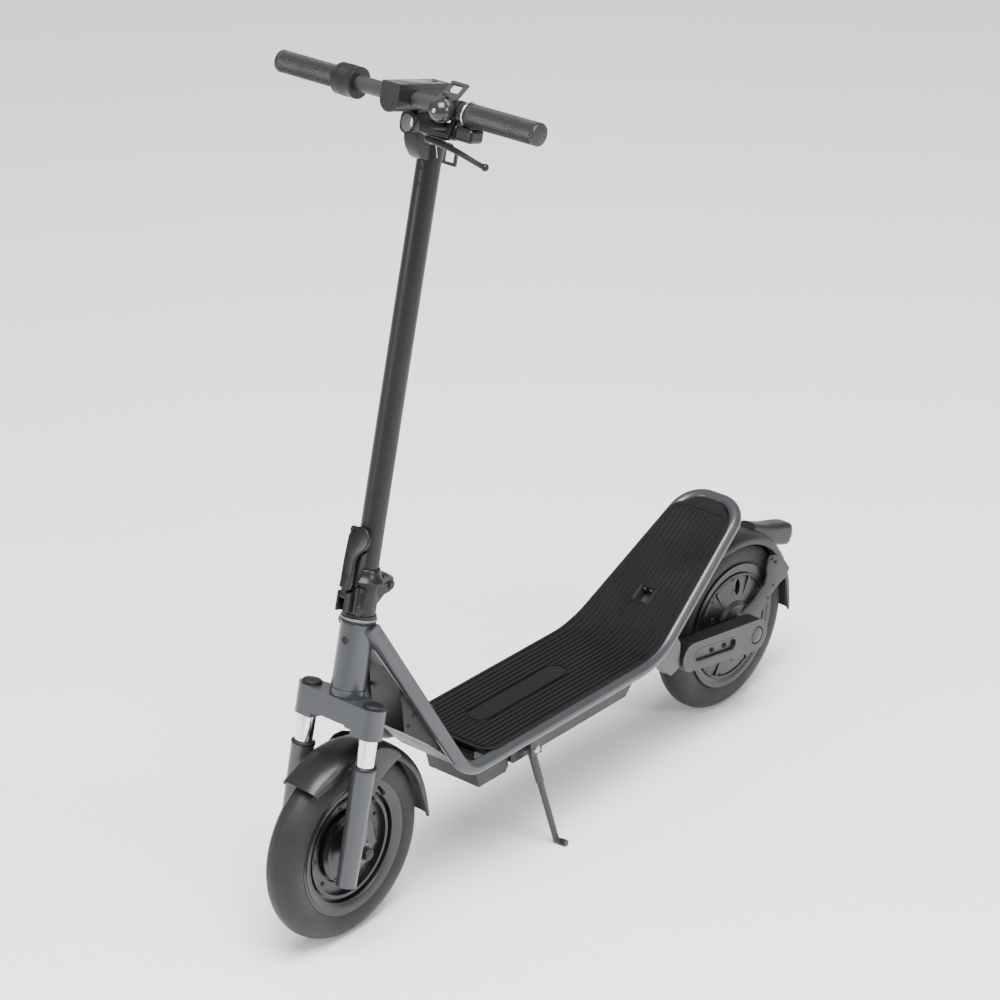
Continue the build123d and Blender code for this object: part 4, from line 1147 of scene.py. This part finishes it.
@dataclass
class Cockpit:
    """Grips, lamp, display and small parts on the handlebar.

    Attributes:
        layout: main places of the scooter.
        bar_forward: how far the bar is in front of the steering axis, in millimetres.
        bar_height: its height along the steering axis.
        grip_radius: the grips' outer radius.
        left_grip: right and left end of the left grip.
        right_grip: right and left end of the right grip.
        knurl_rows: rows of diamonds along a grip.
        knurl_columns: diamonds round a grip.
    """

    layout: Layout
    bar_forward: float = 65.8
    bar_height: float = 1248.5
    bar_radius: float = 11.1
    grip_radius: float = 16.0
    left_grip: tuple[float, float] = (111.0, 231.5)
    right_grip: tuple[float, float] = (-231.5, -121.0)
    knurl_rows: int = 27
    knurl_columns: int = 30

    def _bar(self, side: float) -> Matrix:
        """A place on the bar's axis, facing left.

        Args:
            side: distance to the left, in millimetres.

        Returns:
            The place.
        """
        return facing(self.layout.head(self.bar_forward, side, self.bar_height), LEFT)

    def grip(self, name: str, low: float, high: float, outer_end: int) -> bpy.types.Object:
        """Build one rubber grip with raised diamonds between two smooth ends.

        Args:
            name: the piece's name.
            low: its right end.
            high: its left end.
            outer_end: 1 when the closed end is on the left, -1 on the right.

        Returns:
            The piece.
        """
        length = high - low
        steps = self.knurl_rows * 8
        smooth = 6.0
        profile = [(0, 0), (self.grip_radius - 2.2, 0), (self.grip_radius - 0.8, 0.5),
                   (self.grip_radius - 0.1, 1.8)]
        first = len(profile)
        for step in range(steps + 1):
            profile.append((self.grip_radius - 1.2, smooth + (length - 2 * smooth) * step / steps))
        profile += [(self.grip_radius - 0.1, length - 1.8), (self.grip_radius - 0.8, length - 0.5),
                    (self.grip_radius - 2.2, length), (0, length)]

        def diamonds(index: int, angle: float) -> tuple[float, float]:
            """Raise the outline into diamonds.

            Args:
                index: outline point.
                angle: angle round the bar.

            Returns:
                Extra radius and no extra height.
            """
            if not first < index < first + steps:
                return 0.9 if first <= index <= first + steps else 0.0, 0.0
            row = (index - first) / steps * self.knurl_rows
            column = angle / math.tau * self.knurl_columns
            one = abs((row + column) % 1.0 - 0.5) * 2
            two = abs((row - column) % 1.0 - 0.5) * 2
            return 1.1 * min(1.0, 1.5 * (1 - max(one, two))), 0.0

        piece = lathe(name, profile, self._bar(low), GRIP_RUBBER, "stem", self.knurl_columns * 8,
                      shape=diamonds)
        side = high if outer_end > 0 else low
        cap = facing(self.layout.head(self.bar_forward, side - 0.5 * outer_end, self.bar_height),
                     Vector((0, outer_end, 0)))
        lathe(name + "_cap_groove", [(11.2, 0.4), (11.6, 0.1), (12.4, 0.1), (12.8, 0.4), (12.0, 0.55)], cap,
              GRIP_RUBBER, "stem", 72, closed=True)
        return piece

    def grips(self) -> None:
        """Both grips and the left grip's bright clamp ring."""
        left = self.grip("left_grip_skin", *self.left_grip, 1)
        self.grip("right_grip_skin", *self.right_grip, -1)
        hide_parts("grips")
        ring = [(11.3, -1.5), (16.2, -1.5), (17.2, -0.9), (17.4, 0.2), (16.8, 1.5), (11.3, 1.5)]
        lathe("left_grip_ring", ring, self._bar(109.3), STEEL, "stem", 72, closed=True)

    def throttle(self) -> None:
        """Ribs round the throttle collar."""
        for number, side in enumerate((-118.5, -88.2)):
            lathe(f"throttle_rim_{number}", [(20.8, -1.4), (22.2, -1.0), (22.2, 1.0), (20.8, 1.4)],
                  self._bar(side), PLASTIC, "throttle", 96, closed=True)
        for number in range(5):
            lathe(f"throttle_groove_{number}", [(21.8, -0.7), (22.35, 0), (21.8, 0.7)],
                  self._bar(-110 + number * 3), SMOOTH_RUBBER, "throttle", 96, closed=True)

    def lamp(self) -> None:
        """Dark bowl and smoked glass of the lamp, with the bezel round them."""
        way = self.layout.head_way(1, 0, 0)
        up = self.layout.head_way(0, 0, 1)
        place = facing(self.layout.head(57.6, 0, 1213.6), way, up)
        bezel = place @ Matrix.Translation((0, 0, 0.2 * MM))
        turned = [(-y, x) for x, y in stadium(25, 20, 12)]
        slab("lamp_bowl", turned, 0.4, place @ Matrix.Translation((0, 0, 0.1 * MM)), GLOSS_BLACK, "stem", 0.2)
        slab("lamp_glass", [(x * 0.96, y * 0.96) for x, y in turned], 1.1,
             place @ Matrix.Translation((0, 0, 0.55 * MM)), SMOKED, "stem", 0.5)
        build = bmesh.new()
        outer = [build.verts.new((x * 1.09 * MM, y * 1.06 * MM, 1.3 * MM)) for x, y in turned]
        inner = [build.verts.new((x * 0.93 * MM, y * 0.95 * MM, 1.6 * MM)) for x, y in turned]
        skirt = [build.verts.new((x * 1.12 * MM, y * 1.09 * MM, -1.6 * MM)) for x, y in turned]
        bridge(build, [skirt, outer, inner])
        keep_mesh("lamp_bezel", build, bezel, GLOSS_BLACK, "stem")

    def display(self) -> None:
        """Dark window, seam and outline marks of the display pod."""
        up = self.layout.head_way(0, 0, 1)
        forward = self.layout.head_way(1, 0, 0)
        top = facing(self.layout.head(56, 0, 1269.02), up, forward)
        slab("display_window", [(-11, -22), (11, -22), (11, 26), (-11, 26)], 0.35, top, DARK_GLASS, "stem",
             0.25)
        seam = facing(self.layout.head(91, 0, 1269.02), up, forward)
        slab("display_seam", [(-13.6, -0.5), (13.6, -0.5), (13.6, 0.5), (-13.6, 0.5)], 0.2, seam, HOLE_SHADE_AND_SEAMS,
             "stem", 0.05)
        front = facing(self.layout.head(103.0, 0, 1248), forward, up)
        turns = [math.pi + math.pi * k / 24 for k in range(25)]
        arc = [(9.4 * math.cos(a), 9.4 * math.sin(a) - 3) for a in turns]
        back = [(8.7 * x / 9.4, 8.7 * (y + 3) / 9.4 - 3) for x, y in reversed(arc)]
        outline = [(-9.4, 12), *arc, (9.4, 12), (8.7, 12), *back, (-8.7, 12)]
        slab("pod_front_line", outline, 0.25, front, HOLE_SHADE_AND_SEAMS, "stem", 0.05)
        for side, word in SIDES:
            place = facing(self.layout.head(50, side * 16, 1262.5), Vector((0, side, 0)), up)
            slab(f"pod_side_line_{word}", [(-50, -0.4), (50, -0.4), (50, 0.4), (-50, 0.4)], 0.2, place,
                 HOLE_SHADE_AND_SEAMS, "stem", 0.05)

    def bell(self) -> None:
        """Rings and cap screw on the bell."""
        way = self.layout.head_way(1, 0, 0)
        place = facing(self.layout.head(self.bar_forward + 23, 80, self.bar_height), way)
        for number, height in enumerate((0.4, 3.2)):
            reach = math.sqrt(16.5 ** 2 - height ** 2)
            lathe(f"bell_ring_{number}", [(reach - 0.3, height - 0.6), (reach + 0.35, height),
                                          (reach - 0.3, height + 0.6)],
                  place, GLOSS_BLACK, "stem", 96, closed=True)
        lathe("bell_screw", [(0, 17.1), (1.6, 17.1), (2.4, 16.9), (3.0, 16.2), (3.0, 15.5), (0, 15.5)],
              place, STEEL, "stem", 36, hexes=(1,))

    def lever_blade(self) -> None:
        """Brake lever: a broad root, a slim blade that dips, and a ball at its end."""
        rows = [(72, 50, 1204.5, 6, 4.2, 3.2), (76, 56, 1204.5, 8.4, 4.6, 3.0),
                (78, 66, 1204.5, 8.6, 4.6, 3.0),
                (84, 84, 1204.2, 7.4, 4.4, 2.8), (91, 104, 1203.8, 5.8, 4.0, 2.6),
                (94, 122, 1202, 4.6, 3.8, 2.5),
                (94.5, 140, 1198.6, 3.9, 3.6, 2.4), (93.4, 156, 1194.6, 3.7, 3.5, 2.3),
                (92.2, 168, 1192.2, 4.0, 3.8, 2.2)]
        forward = self.layout.head_way(1, 0, 0)
        piece = loft("brake_blade", swept_sections(rows, self.layout.head, 10), forward, ANODISED, "brake")
        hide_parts("brake_lever")
        end = facing(self.layout.head(92, 170, 1192), LEFT)
        ball = [(0, -5.2)] + [(5.3 * math.cos(a), 5.3 * math.sin(a)) for a in
                              [math.radians(-80 + 10 * k) for k in range(17)]] + [(0, 5.25)]
        lathe("brake_ball", ball, end, ANODISED, "brake", 40)

    def perch(self) -> None:
        """Lever housing: a smooth wing under the bar with a flat underside."""
        rows = [(66, 30, 1218, 5, 5.0, 3.0), (67, 34, 1218, 10.0, 8.2, 3.2), (69, 48, 1218.4, 13.0, 9.6, 3.2),
                (70, 66, 1219, 13.8, 10.4, 3.0), (69, 84, 1220.5, 12.4, 11.2, 3.0),
                (68, 94, 1222, 10.0, 12.0, 2.8), (67, 99, 1223, 7.0, 10.6, 2.6)]
        forward = self.layout.head_way(1, 0, 0)
        loft("perch_wing", swept_sections(rows, self.layout.head, 10), forward, ANODISED, "stem")
        under = facing(self.layout.head(71, 66, 1209.6), self.layout.head_way(0, 0, -1), forward)
        slab("perch_underside", stadium(48, 18, 12), 0.7, under, STEEL, "stem", 0.3)

    def stem_head(self) -> None:
        """Curved neck from the stem to the lamp, with a chin below the lamp."""
        rows = [(0, 0, 1163, 18.3, 18.3, 2.0), (0, 0, 1180, 18.6, 18.6, 2.0), (1.5, 0, 1196, 18.0, 18.0, 2.1),
                (9, 0, 1209, 16.4, 16.4, 2.3), (22, 0, 1215, 15.4, 15.6, 2.5),
                (38, 0, 1215.4, 15.0, 16.2, 2.6),
                (52, 0, 1214.4, 14.6, 16.4, 2.6), (56.5, 0, 1214, 13.9, 15.8, 2.6),
                (57.9, 0, 1214, 13.2, 15.2, 2.6)]
        piece = loft("stem_head", swept_sections(rows, self.layout.head, 10), LEFT, ANODISED, "stem", 64)
        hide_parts("neck_clamp", "headlight_lens")
        chin = [(8, -18), (22, -18), (30, -14), (41, -2), (46, 8), (49, 24), (30, 30), (8, 26)]
        place = facing(self.layout.head(0, -11.5, 1180), LEFT, self.layout.head_way(0, 0, 1))
        slab("lamp_chin", [(-forward, height) for forward, height in chin], 23, place, ANODISED, "stem", 2.5)
        saddle = [(14, 1222), (50, 1222), (50, 1239), (14, 1239)]
        slab("pod_saddle", [(-forward, height) for forward, height in saddle], 20,
             facing(self.layout.head(0, -10, 0), LEFT, self.layout.head_way(0, 0, 1)), ANODISED, "stem", 1.0)
        arm = [(15, 1175), (44.8, 1172), (44.8, 1177), (38, 1183), (15, 1186)]
        slab("hook_arm", arm, 12, facing(self.layout.head(0, -6, 0), LEFT, self.layout.head_way(0, 0, 1)),
             ANODISED, "stem", 1.2)
        for side, word in SIDES:
            place = facing(self.layout.head(12, side * 17.2, 1186), Vector((0, side, 0)),
                           self.layout.head_way(0.35, 0, 0.94))
            slab(f"head_seam_{word}", [(-0.6, -20), (0.6, -20), (0.6, 12), (-0.6, 12)], 0.5, place, STEEL,
                 "stem", 0.2)

    def brake(self) -> None:
        """Bolt, pivot and cable barrel of the brake lever's perch, and the switch box's ribs."""
        up = self.layout.head_way(0, 0, 1)
        down = self.layout.head_way(0, 0, -1)
        back = self.layout.head_way(-1, 0, 0)
        Bolt(2.6, 1.8, STEEL).fit("perch_bolt", self.layout.head(58, 91, 1229), back, "stem")
        Bolt(4.2, 1.6, STEEL).fit("brake_pivot_head", self.layout.head(76, 62, 1222), up, "stem")
        Bolt(3.4, 1.4, STEEL).fit("brake_pivot_nut", self.layout.head(76, 62, 1200), down, "stem")
        barrel = facing(self.layout.head(71, 40, 1216), Vector((0, -1, 0)))
        lathe("cable_barrel", [(0, 9), (2.2, 9), (2.6, 8.4), (2.6, 6), (4.2, 5.6), (4.4, 4.8), (4.4, 1),
                               (3.6, 0.4), (3.6, -0.4), (0, -0.4)], barrel, ANODISED, "stem", 40)
        for number in range(4):
            at = self.layout.head(50, 103 + number * 6.2, 1222)
            slab(f"switch_rib_{number}", stadium(13, 2.2), 0.7, facing(at, back, LEFT), PLASTIC, "stem", 0.3)

    def build(self) -> None:
        """Build everything on the handlebar."""
        self.grips()
        self.throttle()
        self.stem_head()
        self.perch()
        self.lever_blade()
        self.lamp()
        self.display()
        self.bell()
        self.brake()


@dataclass
class Deck:
    """Small parts on and under the deck.

    Attributes:
        layout: main places of the scooter.
        slope: angle of the rising tail.
        bend_x: distance of the bend in front of the rear axle, in millimetres.
        bend_z: height of the bend.
        shroud_side: half of the shroud's width at its back.
        shroud_back: place of its back in front of the rear axle.
        shroud_taper: how much narrower each side gets along it.
        shroud_length: its length.
    """

    layout: Layout
    slope: float = math.radians(31.5)
    bend_x: float = 266.3
    bend_z: float = 211.0
    shroud_side: float = 62.0
    shroud_back: float = 711.0
    shroud_taper: float = 53.0
    shroud_length: float = 127.0

    def _tail(self, along: float, side: float, lift: float) -> Vector:
        """A point on the rising tail.

        Args:
            along: distance up the tail from the bend.
            side: distance to the left.
            lift: height above the rail's centre plane.

        Returns:
            The point in metres.
        """
        x = self.bend_x - along * math.cos(self.slope) + lift * math.sin(self.slope)
        z = self.bend_z + along * math.sin(self.slope) + lift * math.cos(self.slope)
        return self.layout.rear(x, side, z)

    def pocket(self) -> None:
        """Rim and two bright tabs of the latch pocket."""
        up = Vector((math.sin(self.slope), 0, math.cos(self.slope)))
        along = (self.bend_x - 188) / math.cos(self.slope)
        back = Vector((-math.cos(self.slope), 0, math.sin(self.slope)))
        place = facing(self._tail(along, 0, 12.2), up, back)
        build = bmesh.new()
        loops = []
        for x, y, z in ((12.2, 13.2, -1.0), (12.2, 13.2, 1.7), (13.2, 14.2, 2.3), (15.6, 16.6, 2.3),
                        (16.4, 17.4, 1.2)):
            loops.append([build.verts.new((sx * x * MM, sy * y * MM, z * MM))
                          for sx, sy in ((-1, -1), (1, -1), (1, 1), (-1, 1))])
        bridge(build, loops)
        keep_mesh("pocket_rim", build, place, MAT_RUBBER, "chassis")
        for side, word in SIDES:
            at = facing(self._tail(along + 11, side * 6, 9), back * -1, up)
            slab(f"pocket_tab_{word}", [(-2.6, -4), (2.6, -4), (2.6, 2.5), (-2.6, 2.5)], 1.4, at, GREY_ALLOY,
                 "chassis", 0.5)

    def tail_web(self) -> None:
        """Thin sheet that closes the loop's tail under the deck sheet."""
        up = Vector((math.sin(self.slope), 0, math.cos(self.slope)))
        back = Vector((-math.cos(self.slope), 0, math.sin(self.slope)))
        turn, reach = 43.0, 51.0
        arcs = [(side * (reach - turn) + turn * math.cos(angle), -turn + turn * math.sin(angle))
                for side, first in ((1, 0), (-1, 90))
                for angle in [math.radians(first + 7.5 * step) for step in range(13)]]
        outline = [(reach + 8, -95)] + arcs + [(-reach - 8, -95)]
        slab("tail_web", outline, 1.5, facing(self._tail(297, 0, -1.0), up, back), DECK_SHEET, "chassis", 0.2)

    def boxes(self) -> None:
        """Seams, screws and charging port under the deck."""
        left, down = LEFT, Vector((0, 0, -1))
        for side, word in SIDES:
            way = left * side
            for number, x in enumerate((320, 430, 540)):
                Bolt(2.4, 1.2).fit(f"battery_screw_{word}_{number}", self.layout.rear(x, side * 54, 178),
                                   way, "chassis")
            seam = facing(self.layout.rear(432, side * 54, 196), way)
            slab(f"battery_seam_{word}", [(-140, -0.5), (140, -0.5), (140, 0.5), (-140, 0.5)], 0.25, seam,
                 HOLE_SHADE_AND_SEAMS, "chassis", 0.05)
        for number, (x, y) in enumerate(((330, 38), (330, -38), (550, 38), (550, -38))):
            Bolt(3.0, 1.6).fit(f"underside_screw_{number}", self.layout.rear(x, y, 155), down, "chassis")
        port = facing(self.layout.rear(615, -49, 178), Vector((0, -1, 0)))
        lathe("charge_port_cap", [(0, 1.8), (7, 1.8), (8.6, 1.2), (9.2, 0.2), (9.2, -0.6), (0, -0.6)], port,
              SMOOTH_RUBBER, "chassis", 48)

    def _on_shroud(self, x: float, side: int, z: float) -> Vector:
        """A point on a side wall of the wiring shroud.

        Args:
            x: distance in front of the rear axle.
            side: 1 on the left, -1 on the right.
            z: height.

        Returns:
            The point in metres.
        """
        reach = self.shroud_side - (x - self.shroud_back) * self.shroud_taper / self.shroud_length
        return self.layout.rear(x, side * reach, z)

    def shroud(self) -> None:
        """Slots and screws on the sides of the wiring shroud."""
        for side, word in SIDES:
            normal = Vector((self.shroud_taper, side * self.shroud_length, 0)).normalized()
            for number, (x, z, length, width) in enumerate(((792, 352, 20, 5), (770, 318, 14, 4.5),
                                                            (748, 288, 12, 5))):
                # Each slot is a thin dark sheet of painted shade on the wall, not a cut.
                at = facing(self._on_shroud(x, side, z), normal)
                slab(f"shroud_slot_{word}_{number}", stadium(length, width), 0.4,
                     at @ Matrix.Rotation(side * 0.9, 4, "Z"), HOLE_SHADE_AND_SEAMS, "chassis", 0.1)
            for number, (x, z) in enumerate(((780, 300), (735, 250))):
                at = self._on_shroud(x, side, z)
                Bolt(2.6, 1.4).fit(f"shroud_screw_{word}_{number}", at, normal, "chassis")

    def stand(self) -> None:
        """Pivot bolt and rubber toe of the stand."""
        pivot = self.layout.rear(549, 79.9, 178)
        Bolt(5.0, 2.6, STEEL).fit("stand_pivot_bolt", pivot, LEFT, "chassis")
        start, end = self.layout.rear(508.2, 84.1, 5), self.layout.rear(506.7, 103.1, 5)
        way = (end - start).normalized()
        place = facing(start + way * 9 * MM, way)
        profile = [(5.02, 0), (5.3, 0.6), (5.3, 8.4), (4.6, 9.6), (3.2, 10), (0, 10), (0, 9.4), (4.9, 9)]
        lift = Matrix.Translation((0, 0, 0.35 * MM))
        lathe("stand_toe_cap", profile, lift @ place, SMOOTH_RUBBER, "stand", 36)

    def build(self) -> None:
        """Build everything that belongs to the deck."""
        self.pocket()
        self.tail_web()
        self.boxes()
        self.shroud()
        self.stand()


@dataclass
class RearEnd:
    """Bolts, caps and lamp details around the rear wheel.

    Attributes:
        layout: main places of the scooter.
    """

    layout: Layout

    def arms(self) -> None:
        """Bolts in the arm covers' recess, axle caps and a raised lip."""
        for side, word in SIDES:
            way = Vector((0, side, 0))
            for number, (x, z) in enumerate(((112, 162.4), (80, 157.6))):
                Bolt(4.0, 2.4).fit(f"arm_bolt_{word}_{number}", self.layout.rear(x, side * 72, z), way,
                                   "chassis")
            cap = facing(self.layout.rear(0, side * 74, AXLE_HEIGHT), way)
            profile = [(0, 3.8), (10, 3.6), (13, 2.6), (14.2, 0.6), (14.2, -6), (0, -6)]
            lathe(f"axle_cap_{word}", profile, cap, COVER_PLASTIC, "chassis", 72)
            outer = facing(self.layout.rear(109, side * 77, 163), way, Vector((-0.172, 0, 0.985)))
            ring = stadium(110, 25, 14)
            inner = stadium(105, 20.5, 14)
            build = bmesh.new()
            loops = [[build.verts.new((x * MM, y * MM, z * MM)) for x, y in points]
                     for points, z in ((ring, -0.1), (stadium(109, 24, 14), 0.5),
                                       (stadium(107, 22, 14), 0.5), (inner, -0.6))]
            bridge(build, loops)
            keep_mesh(f"arm_lip_{word}", build, outer, COVER_PLASTIC, "chassis")

    def lamp(self) -> None:
        """Rings on the tail light."""
        low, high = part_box("tail_light_lens")
        way = Vector((-0.946, 0, -0.324)).normalized()
        middle = Vector([(a + b) / 2 for a, b in zip(low, high)])
        place = facing(middle, way)
        for number, radius in enumerate((6.0, 11.0, 15.5)):
            lathe(f"tail_light_ring_{number}", [(radius - 0.5, 1.6), (radius, 3.1), (radius + 0.5, 1.6)],
                  place, RED_LENS, "chassis", 72, closed=True)

    def fender(self) -> None:
        """Rear mudguard with a rounded back, and its two broad stays."""
        hub = self.layout.rear(0, 0, AXLE_HEIGHT)

        def section(part: float) -> list[tuple[float, float]]:
            """Outline of the guard, deeper in the middle of its run.

            Args:
                part: how far along the guard, from 0 to 1.

            Returns:
                Outline points as radius and side.
            """
            tail = max(0.0, (part - 0.88) / 0.12)
            nose = max(0.0, 1 - part / 0.12)
            return crowned_section(156.8, 33.8, 19 - 7 * tail ** 1.5 - 7 * nose ** 1.5, 2.8)

        guard = guard_skin("rear_fender_skin", hub, section, (72, 190), PLASTIC, "chassis", 96)
        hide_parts("rear_fender")
        pieces = []
        for side, word in SIDES:
            outline = [(-139, 198), (-128, 214), (-112, 229), (-98, 238), (-88, 240), (-80, 233), (-76, 222),
                       (-77, 208),
                       (-72, 194), (-58, 182), (-38, 174), (-20, 168), (-9, 161), (-5, 151), (-9, 141),
                       (-20, 136), (-38, 136), (-55, 140), (-72, 152), (-92, 170), (-112, 180), (-128, 184)]
            place = facing(hub + Vector((0, side * 33.2 * MM, 0)), Vector((0, side, 0)), Vector((0, 0, 1)))
            points = [(-side * x, z - AXLE_HEIGHT) for x, z in outline]
            pieces.append(slab(f"fender_stay_{word}", points, 4.0, place, PLASTIC, "chassis", 1.2))
            # Holes in the stays, their dark floors painted shade.
            for number, (x, z) in enumerate(((-94.4, 184), (-81.7, 166))):
                at = self.layout.rear(x, side * 37.2, z)
                Recess(2.6, 0.6, PLASTIC).fit(f"stay_hole_{word}_{number}", at, Vector((0, side, 0)),
                                              "chassis")
        for piece in pieces:
            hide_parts("fender_stays")

    def tail_block(self) -> None:
        """Tail light housing that swells out of the mudguard."""
        rows = [(-70, 0, 286, 15, 9, 3.4), (-92, 0, 272, 17.5, 13, 3.6), (-112, 0, 260.5, 18.6, 16.6, 3.8),
                (-138, 0, 250.8, 19.2, 18.6, 3.8), (-160, 0, 243, 19.4, 19.2, 3.8),
                (-166, 0, 241, 18.6, 18.4, 3.8)]
        piece = loft("tail_block", swept_sections(rows, self.layout.rear, 8), LEFT, PLASTIC, "chassis", 64)
        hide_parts("tail_light_housing")

    def stays(self) -> None:
        """Bolts that hold the fender's stays."""
        for side, word in SIDES:
            way = Vector((0, side, 0))
            for number, (x, z) in enumerate(((-100, 224), (-88, 234), (-13, 153))):
                Bolt(2.8, 1.8).fit(f"stay_bolt_{word}_{number}", self.layout.rear(x, side * 37.3, z), way,
                                   "chassis")

    def build(self) -> None:
        """Build everything that belongs to the rear end."""
        self.arms()
        self.fender()
        self.tail_block()
        self.lamp()
        self.stays()


# ---------------------------------------------------------------- studio
@dataclass
class Studio:
    """Camera, soft lights and pale floor.

    Attributes:
        layout: main places of the scooter.
        lens: focal length, in millimetres.
        floor_size: half of the floor's width, in metres.
        lights: name, place, size and power of each light.
    """

    layout: Layout
    lens: float = 130.908
    floor_size: float = 14.0
    lights: list[tuple[str, Point, float, float]] = field(default_factory=lambda: [
        ("overhead", (1.4, 1.2, 5.4), 3.6, 860.0), ("key", (-0.4, 4.6, 2.6), 1.2, 120.0),
        ("front", (4.6, -1.6, 1.8), 1.0, 70.0)])

    def camera(self) -> None:
        """Place the camera."""
        data = bpy.data.cameras.new("camera")
        data.lens = self.lens
        data.sensor_width = 36.0
        data.dof.use_dof = False
        eye = bpy.data.objects.new("camera", data)
        eye.location = (self.layout.rear_x + 4.1456, 3.0853, 2.85704)
        eye.rotation_euler = Euler((1.119984648572458, 0.004082415413635376, 2.2762146815945807), "XYZ")
        bpy.context.scene.collection.objects.link(eye)
        bpy.context.scene.camera = eye

    def floor(self) -> None:
        """Lay the floor."""
        build = bmesh.new()
        bmesh.ops.create_grid(build, x_segments=4, y_segments=4, size=self.floor_size)
        mesh = bpy.data.meshes.new("floor")
        build.to_mesh(mesh)
        build.free()
        mesh.materials.append(Finish("floor_paper", "", (0.93, 0.93, 0.93), 0.01, (0.7, 0.8), patch=1.2,
                                     bump=0.0, edge=0.0).material())
        floor = bpy.data.objects.new("floor", mesh)
        bpy.context.scene.collection.objects.link(floor)

    def light(self) -> None:
        """Hang the soft lights and set the pale surround."""
        world = bpy.data.worlds.new("surround")
        world.use_nodes = True
        world.node_tree.nodes["Background"].inputs["Color"].default_value = (1, 1, 1, 1)
        world.node_tree.nodes["Background"].inputs["Strength"].default_value = 0.6
        bpy.context.scene.world = world
        target = Vector((0.05, 0, 0.45))
        for name, place, size, power in self.lights:
            data = bpy.data.lights.new(name, "AREA")
            data.shape = "SQUARE"
            data.size = size
            data.energy = power
            lamp = bpy.data.objects.new(name, data)
            lamp.location = place
            lamp.rotation_euler = (Vector(place) - target).to_track_quat("Z", "Y").to_euler()
            bpy.context.scene.collection.objects.link(lamp)

    def build(self) -> None:
        """Build the whole studio."""
        self.camera()
        self.floor()
        self.light()


def dress_frame() -> None:
    """Give every piece of the frame its finish."""
    for name, node in frame["nodes"].items():
        finish = CAD_FINISHES[name]
        node.data.materials.clear()
        node.data.materials.append(finish.material())


def main() -> None:
    """Build the scene, assembly by assembly."""
    logging.basicConfig(level=logging.INFO, format="%(name)s: %(message)s")
    layout = Layout.read()
    Studio(layout).build()
    dress_frame()
    for assembly in (Wheels(layout), Fork(layout), FoldingJoint(layout), Cockpit(layout), Deck(layout),
                     RearEnd(layout)):
        before = set(bpy.data.objects)
        assembly.build()
        for piece in sorted(set(bpy.data.objects) - before, key=lambda item: item.name):
            LOG.info("%s: %s", type(assembly).__name__, piece.name)


if __name__ == "__main__":
    main()
